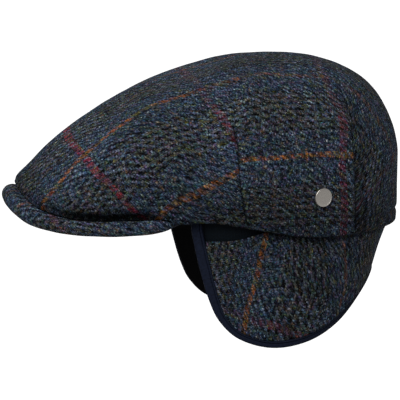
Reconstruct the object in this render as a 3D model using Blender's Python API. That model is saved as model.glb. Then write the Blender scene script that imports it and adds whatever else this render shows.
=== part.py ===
"""Ivy cap with its ear flaps let down, as it sits on a head.

Metres, +Z up, the peak towards -Y and the wearer's left towards +X. The origin is the middle of the head
opening at the height of the crown's hem beside the ears. A bearing is an angle round the head in degrees:
0 at the middle of the forehead, 90 at the left ear and 180 at the nape.
"""
import math
from collections import namedtuple

import bmesh
import bpy
from mathutils import Vector

# The head that the cap is cut for
HEAD_LENGTH = 0.202
HEAD_WIDTH = 0.166

# Layers of the edge, from the head outwards, and the play between two of them
PLAY = 0.0003
BAND_THICK = 0.0016
LINING_THICK = 0.0012
FLAP_THICK = 0.0022
BINDING_PROUD = 0.0004
HEM_THICK = 0.0042

# Crown
CROWN_HEIGHT = 0.1163
APEX_BEHIND = 0.026
CROWN_WALL = 0.0022
HEM_HEIGHT = 0.009
HEM_TUCK = 0.0009
DART_DEPTH = 0.0013
FRONT_DART = 80.0
REAR_DART = 130.0

# Peak
PEAK_REACH = 0.049
PEAK_LIP = 0.0053
NOSE_LIP = 0.0033
NOSE_DROP = 0.0058
NOSE_WIDTH = 26.0
PEAK_THICK = 0.0102
PEAK_BOARD = 0.004
PEAK_TEMPLE = 60.0
PEAK_FLARE = 74.0
EDGE_ARCH = 0.022
FOREHEAD_RISE = 0.018

# Head band
BAND_HEIGHT = 0.024
BAND_SHOWS = 0.010

# Ear flap
EAR_DROP = 0.0788
FLAP_TUCK = 0.014
FLAP_TOP_DIP = 0.004
FLAP_FRONT = 64.2
BINDING_WIDE = 0.0095
BINDING_NARROW = 0.0045
SIDE_LEAN = 0.06
NAPE_LEAN = 0.40

# Badge on the left side
BADGE_WIDTH = 0.0128
BADGE_THICK = 0.0018
BADGE_BEARING = 113.0
BADGE_LEVEL = 2.3

# How finely the solids are cut, in degrees round the head and in columns
FRONT_STEP = 4
BACK_STEP = 5
BAND_COLUMNS = 60
FLAP_COLUMNS = 56
FLAP_ROWS = 7

# Height of the cap's edge round the head, as a share of EDGE_ARCH
Edge = namedtuple("Edge", "bearing height")
EDGE = (
    Edge(0, 0.83),
    Edge(8, 0.69),
    Edge(16, 0.465),
    Edge(25, 0.29),
    Edge(34, 0.225),
    Edge(46, 0.275),
    Edge(60, 0.375),
    Edge(74, 0.41),
    Edge(90, 0.19),
    Edge(104, -0.03),
    Edge(117, -0.12),
    Edge(148, -0.08),
    Edge(180, -0.05),
)

# Crown's outline from its edge up to the top: height as a share of the height there, and how far out from
# the top's middle each side stands, as a share of the edge's distance
Level = namedtuple("Level", "height front side back")
LEVELS = (
    Level(0.00, 1.000, 1.000, 1.000),
    Level(0.09, 0.966, 1.018, 1.001),
    Level(0.20, 0.909, 1.030, 1.006),
    Level(0.33, 0.837, 1.028, 1.008),
    Level(0.47, 0.753, 1.000, 0.995),
    Level(0.61, 0.652, 0.940, 0.938),
    Level(0.73, 0.546, 0.855, 0.855),
    Level(0.83, 0.440, 0.740, 0.735),
    Level(0.91, 0.322, 0.585, 0.562),
    Level(0.97, 0.182, 0.365, 0.330),
    Level(1.00, 0.000, 0.000, 0.000),
)

# Flap's lower edge from its front corner to the nape: how far it hangs, as a share of EAR_DROP
Hang = namedtuple("Hang", "bearing drop")
HANG = (
    Hang(64.2, -0.06),
    Hang(67.6, 0.29),
    Hang(71.3, 0.58),
    Hang(75.6, 0.77),
    Hang(83.3, 0.92),
    Hang(96, 1.00),
    Hang(111, 0.965),
    Hang(127, 0.845),
    Hang(145, 0.66),
    Hang(162, 0.53),
    Hang(180, 0.49),
)

# Where each layer begins, outwards from the head
LINING_AT = BAND_THICK + PLAY
FLAP_AT = LINING_AT + LINING_THICK + PLAY
FLAP_OUT = FLAP_AT + FLAP_THICK
BINDING_OUT = FLAP_OUT + BINDING_PROUD
HEM_AT = BINDING_OUT + PLAY
HEM_OUT = HEM_AT + HEM_THICK


def curve_through(values, place):
    """Value at a place along a smooth curve through evenly counted values."""
    last = len(values) - 1
    place = min(max(place, 0.0), float(last))
    index = min(int(place), last - 1)
    part = place - index
    before = values[max(index - 1, 0)]
    start = values[index]
    end = values[index + 1]
    after = values[min(index + 2, last)]
    bend = 2 * before - 5 * start + 4 * end - after
    twist = 3 * start - before - 3 * end + after
    return start + 0.5 * part * (end - before + part * (bend + part * twist))


def height_round(bearing):
    """Height in EDGE at a bearing, level across the middle of the forehead and of the nape."""
    index = 0
    while bearing > EDGE[index + 1].bearing:
        index += 1
    start = EDGE[index]
    end = EDGE[index + 1]
    span = end.bearing - start.bearing
    part = (bearing - start.bearing) / span
    rise = span * slope_round(index)
    fall = span * slope_round(index + 1)
    bend = 3 * (end.height - start.height) - 2 * rise - fall
    twist = rise + fall - 2 * (end.height - start.height)
    return start.height + part * (rise + part * (bend + part * twist))


def slope_round(index):
    """Slope of EDGE at one of its rows, none at its two ends."""
    if index in (0, len(EDGE) - 1):
        return 0.0
    before = EDGE[index - 1]
    after = EDGE[index + 1]
    return (after.height - before.height) / (after.bearing - before.bearing)


def ease(value):
    """Smooth step from 0 to 1."""
    value = min(max(value, 0.0), 1.0)
    return value * value * (3 - 2 * value)


def oval(bearing, offset):
    """Plan point this far outside the head's oval."""
    turn = math.radians(bearing)
    side = HEAD_WIDTH / 2
    length = HEAD_LENGTH / 2
    out = Vector((math.sin(turn) / side, -math.cos(turn) / length))
    out.normalize()
    return Vector((side * math.sin(turn), -length * math.cos(turn))) + out * offset


def fold(bearing):
    """The same bearing on the left half, from 0 to 180."""
    bearing = abs(bearing) % 360
    return 360 - bearing if bearing > 180 else bearing


def edge_height(bearing):
    """Height of the middle of the cap's edge."""
    return EDGE_ARCH * height_round(fold(bearing))


def peak_half(bearing):
    """Half the peak's thickness at its outer edge, rounded down to nothing at the temples."""
    round_end = 10.0
    past = max(0.0, fold(bearing) - (PEAK_TEMPLE - round_end)) / round_end
    return PEAK_THICK / 2 * math.sqrt(max(0.0, 1 - past * past))


def brow_height(bearing):
    """Height of the head opening's edge, which rises from the temples over the forehead."""
    rise = math.cos(min(1.0, fold(bearing) / PEAK_TEMPLE) * math.pi / 2) ** 2
    return edge_height(PEAK_TEMPLE) + FOREHEAD_RISE * rise


def overhang(bearing):
    """How far the cap's edge stands out in front of the head band's line."""
    share = min(1.0, fold(bearing) / PEAK_FLARE)
    return PEAK_REACH * max(0.0, math.cos(share * math.pi / 2)) ** 1.5


def nose(bearing):
    """How much of the peak's drooping nose there is: all of it in the middle, none at its corners."""
    return ease(1 - fold(bearing) / NOSE_WIDTH)


def rim_height(bearing):
    """Height of the crown's lower edge: on the peak in front, free at the sides and back."""
    half = peak_half(bearing)
    return edge_height(bearing) + half + NOSE_DROP * nose(bearing) + PLAY * min(1.0, half / PLAY)


def front_bearings():
    """Bearings along the peak, the same for the peak and the crown that lies on it."""
    last_step = PEAK_TEMPLE - FRONT_STEP
    steps = int(2 * last_step / FRONT_STEP)
    middle = [-last_step + FRONT_STEP * index for index in range(steps + 1)]
    tips = [PEAK_TEMPLE - 2, PEAK_TEMPLE - 0.6]
    return [-tip for tip in reversed(tips)] + middle + tips


def dart(bearing, level):
    """Depth of the pinch that the darts sew into the crown."""
    span = BACK_STEP
    reach = ease(level / 1.0) * ease((6.2 - level) / 2.0)
    near = min(abs(fold(bearing) - FRONT_DART), abs(fold(bearing) - REAR_DART))
    return DART_DEPTH * reach * max(0.0, 1 - near / span)


def crown_smooth(bearing, level):
    """Point on the crown's outside, level counted in rows of LEVELS."""
    turn = math.radians(bearing)
    ahead = max(0.0, math.cos(turn)) ** 3
    behind = max(0.0, -math.cos(turn)) ** 2
    beside = 1 - ahead - behind
    front = curve_through([row.front for row in LEVELS], level)
    side = curve_through([row.side for row in LEVELS], level)
    back = curve_through([row.back for row in LEVELS], level)
    out = ahead * front + beside * side + behind * back
    rim = oval(bearing, HEM_OUT + overhang(bearing))
    apex = Vector((0.0, APEX_BEHIND))
    plan = apex + (rim - apex) * out
    low = rim_height(bearing)
    height = low + (CROWN_HEIGHT - low) * curve_through([row.height for row in LEVELS], level)
    return Vector((plan.x, plan.y, height))


def crown_out(bearing, level):
    """Direction straight out of the crown's surface."""
    step = 0.05
    low = max(0.0, level - step)
    high = min(len(LEVELS) - 1.02, level + step)
    along = crown_smooth(bearing + 0.5, level) - crown_smooth(bearing - 0.5, level)
    up = crown_smooth(bearing, high) - crown_smooth(bearing, low)
    out = along.cross(up)
    out.normalize()
    return out


def crown_outside(bearing, level):
    """Point on the crown's outside with its darts and the tuck above its hem."""
    point = crown_smooth(bearing, level)
    out = crown_out(bearing, level)
    above = point.z - rim_height(bearing)
    tuck = HEM_TUCK * max(0.0, 1 - abs(above - HEM_HEIGHT) / (HEM_HEIGHT / 3))
    return point - out * (tuck + dart(bearing, level))


def crown_inside(bearing, level):
    """Point on the crown's inside, thicker where the hem is folded up."""
    point = crown_smooth(bearing, level)
    above = point.z - rim_height(bearing)
    thick = CROWN_WALL + (HEM_THICK - CROWN_WALL) * ease(1.5 - above / HEM_HEIGHT)
    inner = point - crown_out(bearing, level) * thick
    if above < HEM_HEIGHT:
        low = oval(bearing, HEM_AT + overhang(bearing))
        inner.xy = low.lerp(inner.xy, ease(above / HEM_HEIGHT))
    inner.z = max(inner.z, rim_height(bearing) + above * 0.35)
    return inner


def solid_from_rows(name, rows, ring, start_pole=None, end_pole=None):
    """Closed solid through rows of points. Rows are rings when ring is true, or closed sections along a path."""
    mesh = bmesh.new()
    grid = [[mesh.verts.new(point) for point in row] for row in rows]
    count = len(grid[0])
    for lower, upper in zip(grid, grid[1:]):
        for index in range(count):
            after = (index + 1) % count
            mesh.faces.new((lower[index], lower[after], upper[after], upper[index]))
    if ring:
        for index in range(count):
            after = (index + 1) % count
            mesh.faces.new((grid[-1][index], grid[-1][after], grid[0][after], grid[0][index]))
    else:
        close_end(mesh, grid[0], start_pole, True)
        close_end(mesh, grid[-1], end_pole, False)
    bmesh.ops.recalc_face_normals(mesh, faces=mesh.faces)
    data = bpy.data.meshes.new(name)
    mesh.to_mesh(data)
    mesh.free()
    part = bpy.data.objects.new(name, data)
    bpy.context.collection.objects.link(part)
    data.shade_smooth()
    data.set_sharp_from_angle(angle=math.radians(50))
    return part


def close_end(mesh, ring, pole, first):
    """Closes one end of the rows with a fan to a pole, or with one face."""
    if pole is None:
        mesh.faces.new(ring[::-1] if first else ring)
        return
    tip = mesh.verts.new(pole)
    count = len(ring)
    for index in range(count):
        after = (index + 1) % count
        mesh.faces.new((ring[after], ring[index], tip) if first else (ring[index], ring[after], tip))


def paint(part, name, colour, roughness, metallic=0.0):
    """Gives a piece its own material."""
    material = bpy.data.materials.new(name)
    material.use_nodes = True
    shader = material.node_tree.nodes["Principled BSDF"]
    shader.inputs["Base Color"].default_value = (*colour, 1.0)
    shader.inputs["Roughness"].default_value = roughness
    shader.inputs["Metallic"].default_value = metallic
    part.data.materials.append(material)


def make_crown():
    """One shell over the head: from the inner top, down the inside, round the hem and up the outside."""
    free = 360 - 2 * PEAK_TEMPLE
    steps = int(free / BACK_STEP)
    turns = front_bearings() + [PEAK_TEMPLE + free * index / steps for index in range(steps + 1)]
    inner_levels = (9.0, 8.0, 7.0, 6.0, 5.0, 4.0, 3.0, 2.0, 1.3, 0.75, 0.3)
    outer_levels = (0.3, 0.6, 0.87, 1.2, 2.0, 3.0, 4.0, 5.0, 6.0, 7.0, 8.0, 9.0, 9.6)
    rows = [[crown_inside(turn, level) for turn in turns] for level in inner_levels]
    rows.append([hem_bottom(turn, 0.25) for turn in turns])
    rows.append([hem_bottom(turn, 0.75) for turn in turns])
    rows += [[crown_outside(turn, level) for turn in turns] for level in outer_levels]
    top = Vector((0.0, APEX_BEHIND, CROWN_HEIGHT))
    crown = solid_from_rows("crown", rows, False, top - Vector((0, 0, CROWN_WALL)), top)
    paint(crown, "crown tweed", (0.055, 0.062, 0.078), 0.9)


def hem_bottom(bearing, share):
    """Point on the underside of the folded hem, share of the way from its inside to its outside."""
    plan = oval(bearing, HEM_AT + HEM_THICK * share + overhang(bearing))
    return Vector((plan.x, plan.y, rim_height(bearing)))


def peak_section(bearing):
    """Section through the peak: inner edge, seat for the crown, round outer edge, and back underneath."""
    half = peak_half(bearing)
    lip = (PEAK_LIP + NOSE_LIP * nose(bearing)) * half / (PEAK_THICK / 2)
    inner = oval(bearing, LINING_AT)
    outer = oval(bearing, HEM_OUT + overhang(bearing) + lip)
    out = (outer - inner).normalized()
    width = (outer - inner).length
    board = min(half, PEAK_BOARD / 2)
    inner_height = brow_height(bearing)
    edge = edge_height(bearing)
    seat_height = rim_height(bearing) - PLAY * min(1.0, half / PLAY)
    seat_out = width - lip - PLAY
    seat_in = max(seat_out - HEM_THICK - PLAY, width * 0.4)
    middle = seat_in * 0.5

    def point(along, height):
        plan = inner + out * along
        return Vector((plan.x, plan.y, height))

    def under(along):
        share = along / (width - half)
        return inner_height - board + (edge - half - inner_height + board) * share

    top = [point(0.0, inner_height + board)]
    top.append(point(middle, (inner_height + board + seat_height) / 2))
    top.append(point(seat_in, seat_height))
    top.append(point(seat_out, seat_height))
    roll = []
    for turn in (84, 50, 18, -18, -54, -90):
        along = width - half + half * math.cos(math.radians(turn))
        roll.append(point(along, edge + half * math.sin(math.radians(turn))))
    bottom = [point(along, under(along)) for along in (seat_in, middle, 0.0)]
    return top + roll + bottom


def make_peak():
    """Stiff peak with a padded round edge, from temple to temple."""
    rows = [peak_section(bearing) for bearing in front_bearings()]
    peak = solid_from_rows("peak", rows, False)
    paint(peak, "peak tweed", (0.05, 0.056, 0.07), 0.9)


def hang_point(bearing, height, offset):
    """Point in a hanging layer, which leans in towards the head and neck below the hem."""
    back = ease((fold(bearing) - 100) / 80)
    lean = SIDE_LEAN + (NAPE_LEAN - SIDE_LEAN) * back
    plan = oval(bearing, offset - lean * max(0.0, -height))
    return Vector((plan.x, plan.y, height))


def band_low(bearing):
    """Lower edge of the head band: under the hem in front, showing above the flap behind the temples."""
    inner = brow_height(bearing) - PEAK_BOARD / 2
    shows = ease((fold(bearing) - FLAP_FRONT) / 6)
    return inner + (-BAND_SHOWS - inner) * shows


def make_head_band():
    """Band inside the hem, all the way round the head."""
    rows = []
    for index in range(BAND_COLUMNS):
        bearing = 360 * index / BAND_COLUMNS
        low = band_low(bearing)
        high = max(edge_height(bearing), brow_height(bearing)) + BAND_HEIGHT
        bend = max(0.0, low + 0.15 * (high - low))
        heights = (low, (low + bend) / 2, bend, (bend + high) / 2, high)
        inner = [hang_point(bearing, height, 0.0) for height in heights]
        outer = [hang_point(bearing, height, BAND_THICK) for height in heights]
        rows.append(inner + outer[::-1])
    band = solid_from_rows("head_band", rows, True)
    paint(band, "navy band", (0.011, 0.013, 0.03), 0.7)


def arc_per_degree(bearing):
    """Length round the head for one degree of bearing."""
    turn = math.radians(bearing)
    return math.radians(math.hypot(HEAD_WIDTH / 2 * math.cos(turn), HEAD_LENGTH / 2 * math.sin(turn)))


def hang_edge(place, inset):
    """Bearing and height on the flap's lower edge, place in rows of HANG, moved in by inset."""
    bearings = [row.bearing for row in HANG]
    drops = [row.drop for row in HANG]
    step = 0.05
    ahead = min(place + step, len(HANG) - 1)
    behind = max(place - step, 0)
    bearing = curve_through(bearings, place)
    height = -EAR_DROP * curve_through(drops, place)
    across = (curve_through(bearings, ahead) - curve_through(bearings, behind)) * arc_per_degree(bearing)
    down = -EAR_DROP * (curve_through(drops, ahead) - curve_through(drops, behind))
    length = math.hypot(across, down)
    bearing += inset * -down / length / arc_per_degree(bearing)
    height += inset * across / length
    return bearing, height


def binding_width(place):
    """Width of the binding: wide down the front edge, narrow round the bottom."""
    return BINDING_WIDE + (BINDING_NARROW - BINDING_WIDE) * ease((place - 1) / 3)


def flap_top(bearing):
    """Upper edge of the flap's cloth: below the hem in front, tucked up inside it further back."""
    return -FLAP_TOP_DIP + (FLAP_TOP_DIP + FLAP_TUCK) * ease((bearing - 76) / 40)


def flap_columns():
    """Places along the lower edge for half the flap, from its front corner to the nape."""
    last = len(HANG) - 1
    first = 0.55
    half = FLAP_COLUMNS // 2
    return [first + (last - first) * index / half for index in range(half + 1)]


def flap_solid(name, near, far):
    """A layer of the flap between two distances from the head, both ear lobes and the nape in one."""
    half = []
    places = flap_columns()
    corner = hang_edge(places[0], binding_width(places[0]) + PLAY)[0]
    for place in places:
        share = (place - places[0]) / (places[-1] - places[0])
        low_bearing, low = hang_edge(place, binding_width(place) + PLAY)
        top_bearing = corner + (180 - corner) * share ** 1.3
        top = flap_top(top_bearing)
        low = min(low, top - 0.002)
        bend = min(0.0, top - 0.15 * (top - low))
        heights = [top] + [bend + (low - bend) * row / (FLAP_ROWS - 1) for row in range(FLAP_ROWS)]
        column = []
        for height in heights:
            drop = (top - height) / (top - low)
            column.append((top_bearing + (low_bearing - top_bearing) * drop, height))
        half.append(column)
    other = [[(360 - bearing, height) for bearing, height in column] for column in half[-2::-1]]
    rows = []
    for column in half + other:
        outer = [hang_point(bearing, height, far) for bearing, height in column]
        inner = [hang_point(bearing, height, near) for bearing, height in column]
        rows.append(outer + inner[::-1])
    return solid_from_rows(name, rows, False)


def make_ear_flap():
    """Outer cloth of the flap, hanging from inside the hem."""
    flap = flap_solid("ear_flap", FLAP_AT, FLAP_OUT)
    paint(flap, "flap tweed", (0.05, 0.06, 0.078), 0.9)


def make_flap_lining():
    """Black cloth on the side of the flap that faces the head."""
    lining = flap_solid("flap_lining", LINING_AT, LINING_AT + LINING_THICK)
    paint(lining, "black lining", (0.006, 0.006, 0.007), 0.8)


def binding_section(place, mirror):
    """Rounded section of the binding across the flap's edge."""
    width = binding_width(place)
    corner = (BINDING_OUT - LINING_AT) * 0.3
    across = ((0.0, corner), (corner, 0.0), (width - corner, 0.0), (width, corner))
    thick = BINDING_OUT - LINING_AT
    section = []
    for inset, near in across:
        section.append((inset, LINING_AT + near))
    for inset, near in reversed(across):
        section.append((inset, LINING_AT + thick - near))
    points = []
    for inset, offset in section:
        bearing, height = hang_edge(place, inset)
        points.append(hang_point(360 - bearing if mirror else bearing, height, offset))
    return points


def make_flap_binding():
    """Navy binding along the flap's whole edge, from one temple round the nape to the other."""
    last = len(HANG) - 1
    half = FLAP_COLUMNS // 2 + 4
    places = [last * index / half for index in range(half + 1)]
    rows = [binding_section(place, False) for place in places]
    rows += [binding_section(place, True) for place in places[-2::-1]]
    binding = solid_from_rows("flap_binding", rows, False)
    paint(binding, "navy binding", (0.013, 0.016, 0.036), 0.65)


def make_badge():
    """Plain metal disc, slightly dished, flat against the left side of the crown."""
    radius = BADGE_WIDTH / 2
    profile = ((radius * 0.97, 0.0), (radius, BADGE_THICK * 0.25), (radius, BADGE_THICK * 0.75),
               (radius * 0.95, BADGE_THICK), (radius * 0.86, BADGE_THICK), (radius * 0.8, BADGE_THICK * 0.88))
    sides = 28
    rows = []
    for out, up in profile:
        turns = [math.tau * index / sides for index in range(sides)]
        rows.append([Vector((out * math.cos(turn), out * math.sin(turn), up)) for turn in turns])
    badge = solid_from_rows("side_badge", rows, False, Vector(), Vector((0, 0, BADGE_THICK * 0.82)))
    out = crown_out(BADGE_BEARING, BADGE_LEVEL)
    badge.rotation_euler = out.to_track_quat("Z", "Y").to_euler()
    badge.location = crown_smooth(BADGE_BEARING, BADGE_LEVEL) + out * PLAY
    paint(badge, "brushed metal", (0.36, 0.34, 0.33), 0.35, 1.0)


def main():
    for thing in list(bpy.data.objects):
        bpy.data.objects.remove(thing, do_unlink=True)
    make_crown()
    make_peak()
    make_head_band()
    make_ear_flap()
    make_flap_lining()
    make_flap_binding()
    make_badge()


main()
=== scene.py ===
# %% [markdown]
# # Earflap ivy cap
# A flat tweed cap with its ear flaps let down, as it sits on a head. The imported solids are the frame: every
# piece here is made again at the same place, in cloth or metal, and stands for the solid that it replaces.

# %% Load the frame
import math

import bpy
import numpy as np
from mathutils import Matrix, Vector


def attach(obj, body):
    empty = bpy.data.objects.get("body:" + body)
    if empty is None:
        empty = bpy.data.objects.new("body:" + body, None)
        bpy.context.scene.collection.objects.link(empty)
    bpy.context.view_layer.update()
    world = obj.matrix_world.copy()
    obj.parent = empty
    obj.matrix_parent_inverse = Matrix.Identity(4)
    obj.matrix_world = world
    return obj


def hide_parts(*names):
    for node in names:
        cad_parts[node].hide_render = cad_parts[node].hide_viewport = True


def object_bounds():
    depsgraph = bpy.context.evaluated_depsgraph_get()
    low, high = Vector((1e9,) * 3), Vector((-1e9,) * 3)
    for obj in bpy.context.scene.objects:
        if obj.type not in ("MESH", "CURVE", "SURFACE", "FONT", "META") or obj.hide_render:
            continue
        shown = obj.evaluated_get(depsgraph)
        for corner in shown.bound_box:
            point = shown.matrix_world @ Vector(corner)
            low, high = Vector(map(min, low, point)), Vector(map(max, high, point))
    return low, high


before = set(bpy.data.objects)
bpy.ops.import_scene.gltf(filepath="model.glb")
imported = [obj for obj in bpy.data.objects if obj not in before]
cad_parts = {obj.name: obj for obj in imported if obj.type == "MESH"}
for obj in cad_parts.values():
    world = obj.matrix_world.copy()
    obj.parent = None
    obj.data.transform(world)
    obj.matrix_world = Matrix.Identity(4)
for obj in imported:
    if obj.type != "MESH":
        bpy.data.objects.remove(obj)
cad_box = [list(corner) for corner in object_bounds()]
print("solids:", sorted(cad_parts))

# %% [markdown]
# ## Camera
# The cap is seen from the wearer's left and a little in front and above. A long lens two metres away keeps
# the outline almost free of perspective. The camera stands square to the middle of the head opening and is
# turned slightly, so that the whole cap is in the picture without shifting the lens.

# %% Camera
PHOTO_WIDTH = 400
VIEW_TURN = math.radians(82)
VIEW_RISE = math.radians(9)
VIEW_DISTANCE = 2.0
LENS_PIXELS = 2824
SENSOR = 36.0
AIM_RIGHT = -0.0290
AIM_UP = 0.0112

to_camera = Vector((math.sin(VIEW_TURN) * math.cos(VIEW_RISE), -math.cos(VIEW_TURN) * math.cos(VIEW_RISE),
                    math.sin(VIEW_RISE)))
view_right = Vector((math.cos(VIEW_TURN), math.sin(VIEW_TURN), 0.0))
view_up = to_camera.cross(view_right)
aim = view_right * AIM_RIGHT + view_up * AIM_UP

lens = bpy.data.cameras.new("camera")
lens.sensor_width = SENSOR
lens.lens = SENSOR * LENS_PIXELS / PHOTO_WIDTH
camera = bpy.data.objects.new("camera", lens)
bpy.context.collection.objects.link(camera)
camera.location = to_camera * VIEW_DISTANCE
camera.rotation_euler = (camera.location - aim).to_track_quat("Z", "Y").to_euler()
bpy.context.scene.camera = camera
print("lens: %.0f mm" % lens.lens)

# %% [markdown]
# ## Floor
# Product pictures stand on pale paper. Here the floor lies well below the cap, as if the cap hung in the
# air: then no shadow falls into the picture, and the floor only sends some light back up.

# %% Floor
FLOOR_DROP = 0.30
FLOOR_SIDE = 60
FLOOR_GREY = 0.42


def only(thing):
    """Leaves just this object selected and active."""
    bpy.ops.object.select_all(action="DESELECT")
    thing.select_set(True)
    bpy.context.view_layer.objects.active = thing


def node_material(name):
    """A new material and its shader."""
    material = bpy.data.materials.new(name)
    material.use_nodes = True
    return material, material.node_tree.nodes["Principled BSDF"]


bpy.ops.object.select_all(action="DESELECT")
bpy.ops.mesh.primitive_plane_add(size=FLOOR_SIDE, location=(0, 0, cad_box[0][2] - FLOOR_DROP))
floor = bpy.context.object
floor.name = "floor"
floor_paint, floor_shader = node_material("floor_paint")
floor_shader.inputs["Base Color"].default_value = (FLOOR_GREY, FLOOR_GREY, FLOOR_GREY, 1)
floor_shader.inputs["Roughness"].default_value = 0.9
floor_shader.inputs["Specular IOR Level"].default_value = 0.1
floor.data.materials.append(floor_paint)

# %% [markdown]
# ## Light
# Dark wool needs soft light to show its colours. A very large, far window stands high in front of the cap
# and to its left, a pale wall behind the cap throws a little light back, and the air of the room fills in
# from all round. Two suns with wide discs do this: a sun lights every part of the cap alike, where a lamp
# close by would be stronger on one side.

# %% Light
AIR_LIGHT = 0.6
# Each light: its name, its strength, how wide it looks in degrees, and where it comes from
LIGHTS = (("far_soft_window", 9.0, 50, (0.60, -0.42, 0.72)),
          ("pale_wall_behind", 1.2, 80, (0.25, 0.90, 0.30)))

for name, strength, spread, comes_from in LIGHTS:
    sun = bpy.data.lights.new(name, "SUN")
    sun.energy = strength
    sun.angle = math.radians(spread)
    lamp = bpy.data.objects.new(name, sun)
    bpy.context.collection.objects.link(lamp)
    lamp.rotation_euler = Vector(comes_from).to_track_quat("Z", "Y").to_euler()
world = bpy.data.worlds.new("studio_air")
world.use_nodes = True
air = world.node_tree.nodes["Background"]
air.inputs["Color"].default_value = (1.0, 1.0, 1.0, 1)
air.inputs["Strength"].default_value = AIR_LIGHT
bpy.context.scene.world = world
bpy.context.scene.view_settings.view_transform = "Standard"
print("lights:", [name for name, *_ in LIGHTS])

# %% [markdown]
# ## The head and its layers
# A cap is cut for a head, so everything starts from the head's oval. A bearing is an angle round the head:
# 0 at the middle of the forehead, 90 at the left ear, 180 at the nape. Outwards from the oval come the
# band, the flap's lining, the flap's cloth, its binding and the crown's folded hem, a hair's breadth apart.

# %% Head oval and layers
HEAD_LENGTH = 0.202
HEAD_WIDTH = 0.166
BAND_THICK = 0.0016
LINING_AT = 0.0019
LINING_THICK = 0.0012
FLAP_AT = 0.0034
FLAP_THICK = 0.0022
BINDING_OUT = 0.0060
HEM_AT = 0.0063
HEM_THICK = 0.0042
HEM_OUT = HEM_AT + HEM_THICK
PLAY = 0.0003


def oval(bearing, offset):
    """Plan points (x, y) this far outside the head's oval, for arrays of bearings in degrees."""
    turn = np.radians(bearing)
    out_x = np.sin(turn) / (HEAD_WIDTH / 2)
    out_y = -np.cos(turn) / (HEAD_LENGTH / 2)
    long = np.hypot(out_x, out_y)
    x = HEAD_WIDTH / 2 * np.sin(turn) + offset * out_x / long
    y = -HEAD_LENGTH / 2 * np.cos(turn) + offset * out_y / long
    return x, y


def fold(bearing):
    """The same bearing on the left half of the head, from 0 to 180."""
    bearing = np.abs(bearing) % 360
    return np.where(bearing > 180, 360 - bearing, bearing)


# %% [markdown]
# ## Smooth steps and humps
# Cloth has no sharp changes, so whatever is stronger in one place than in another is given by one of these:
# a smooth rise, a smooth fall, or a soft hump. They keep the formulas below short.

# %% Smooth steps and humps


def ease(value):
    """Smooth step from 0 to 1."""
    value = np.clip(value, 0.0, 1.0)
    return value * value * (3 - 2 * value)


def rising(value, start, span):
    """0 up to the start, then a smooth rise to 1 over the span."""
    return ease((value - start) / span)


def falling(value, end, span):
    """A smooth fall from 1 to 0 over the span, which is over at the end."""
    return ease((end - value) / span)


def hump(value, middle, width, size=1.0):
    """A soft hump: its full size at the middle, a little over a third of it at the width to either side."""
    return size * np.exp(-((value - middle) / width) ** 2)


# %% [markdown]
# ## The cap's edge
# The lower edge rises over the forehead, dips at the peak's shoulders, lifts at the temples and falls
# behind the ears. In front it is carried forward by the stiff peak. The short table follows the one that
# the solids were cut from, and differs a little in front and at the back, where the cloth was fitted to the
# photo.

# %% Edge line
EDGE_ARCH = 0.022
EDGE_BEARING = (0, 8, 16, 25, 34, 46, 60, 74, 90, 104, 117, 148, 180)
EDGE_SHARE = (0.83, 0.66, 0.40, 0.27, 0.225, 0.275, 0.375, 0.41, 0.19, -0.03, -0.12, -0.10, -0.10)


def edge_height(bearing):
    """Height of the middle of the cap's edge, level at the forehead and at the nape."""
    knots = np.array(EDGE_BEARING, float)
    share = np.array(EDGE_SHARE)
    slope = np.zeros(len(knots))
    slope[1:-1] = (share[2:] - share[:-2]) / (knots[2:] - knots[:-2])
    place = fold(bearing)
    index = np.clip(np.searchsorted(knots, place, side="left") - 1, 0, len(knots) - 2)
    span = knots[index + 1] - knots[index]
    part = (place - knots[index]) / span
    rise = span * slope[index]
    fall = span * slope[index + 1]
    step = share[index + 1] - share[index]
    bend = 3 * step - 2 * rise - fall
    twist = rise + fall - 2 * step
    return EDGE_ARCH * (share[index] + part * (rise + part * (bend + part * twist)))


# %% Peak's edge
PEAK_REACH = 0.049
PEAK_FLARE = 74.0
PEAK_POINT = 1.5
PEAK_THICK = 0.0102
PEAK_TEMPLE = 60.0
PEAK_ROUNDING = 10
NOSE_SWELL = 0.0022
NOSE_SWELL_WIDTH = 34.0
NOSE_FORWARD = 0.0012
NOSE_WIDTH = 26.0


def peak_half(bearing):
    """Half the peak's thickness at its outer edge, rounded down to nothing at the temples."""
    past = np.clip((fold(bearing) - (PEAK_TEMPLE - PEAK_ROUNDING)) / PEAK_ROUNDING, 0, 1)
    swell = NOSE_SWELL * ease(1 - fold(bearing) / NOSE_SWELL_WIDTH)
    return (PEAK_THICK / 2 + swell) * np.sqrt(1 - past * past)


def nose(bearing):
    """How much of the peak's drooping nose there is at a bearing."""
    return ease(1 - fold(bearing) / NOSE_WIDTH)


def overhang(bearing):
    """How far the edge stands out in front of the band's line."""
    share = np.minimum(1.0, fold(bearing) / PEAK_FLARE)
    reach = PEAK_REACH * np.maximum(0.0, np.cos(share * math.pi / 2)) ** PEAK_POINT
    return reach + NOSE_FORWARD * nose(bearing)


def rim_height(bearing):
    """Height of the crown's lower edge: on the peak in front, free elsewhere."""
    half = peak_half(bearing)
    return edge_height(bearing) + half + np.minimum(PLAY, half)


print("edge: %.1f mm at the forehead, %.1f mm at the ear" % tuple(edge_height(np.array([0, 90])) * 1000))

# %% [markdown]
# ## The crown's form
# Levels are counted from the edge up to the top. The front slopes like a duck's bill and the back rounds
# down to the nape, each along one plain curve with a small bulge. The sides bulge over the ears, by the
# solids' own table.

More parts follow.
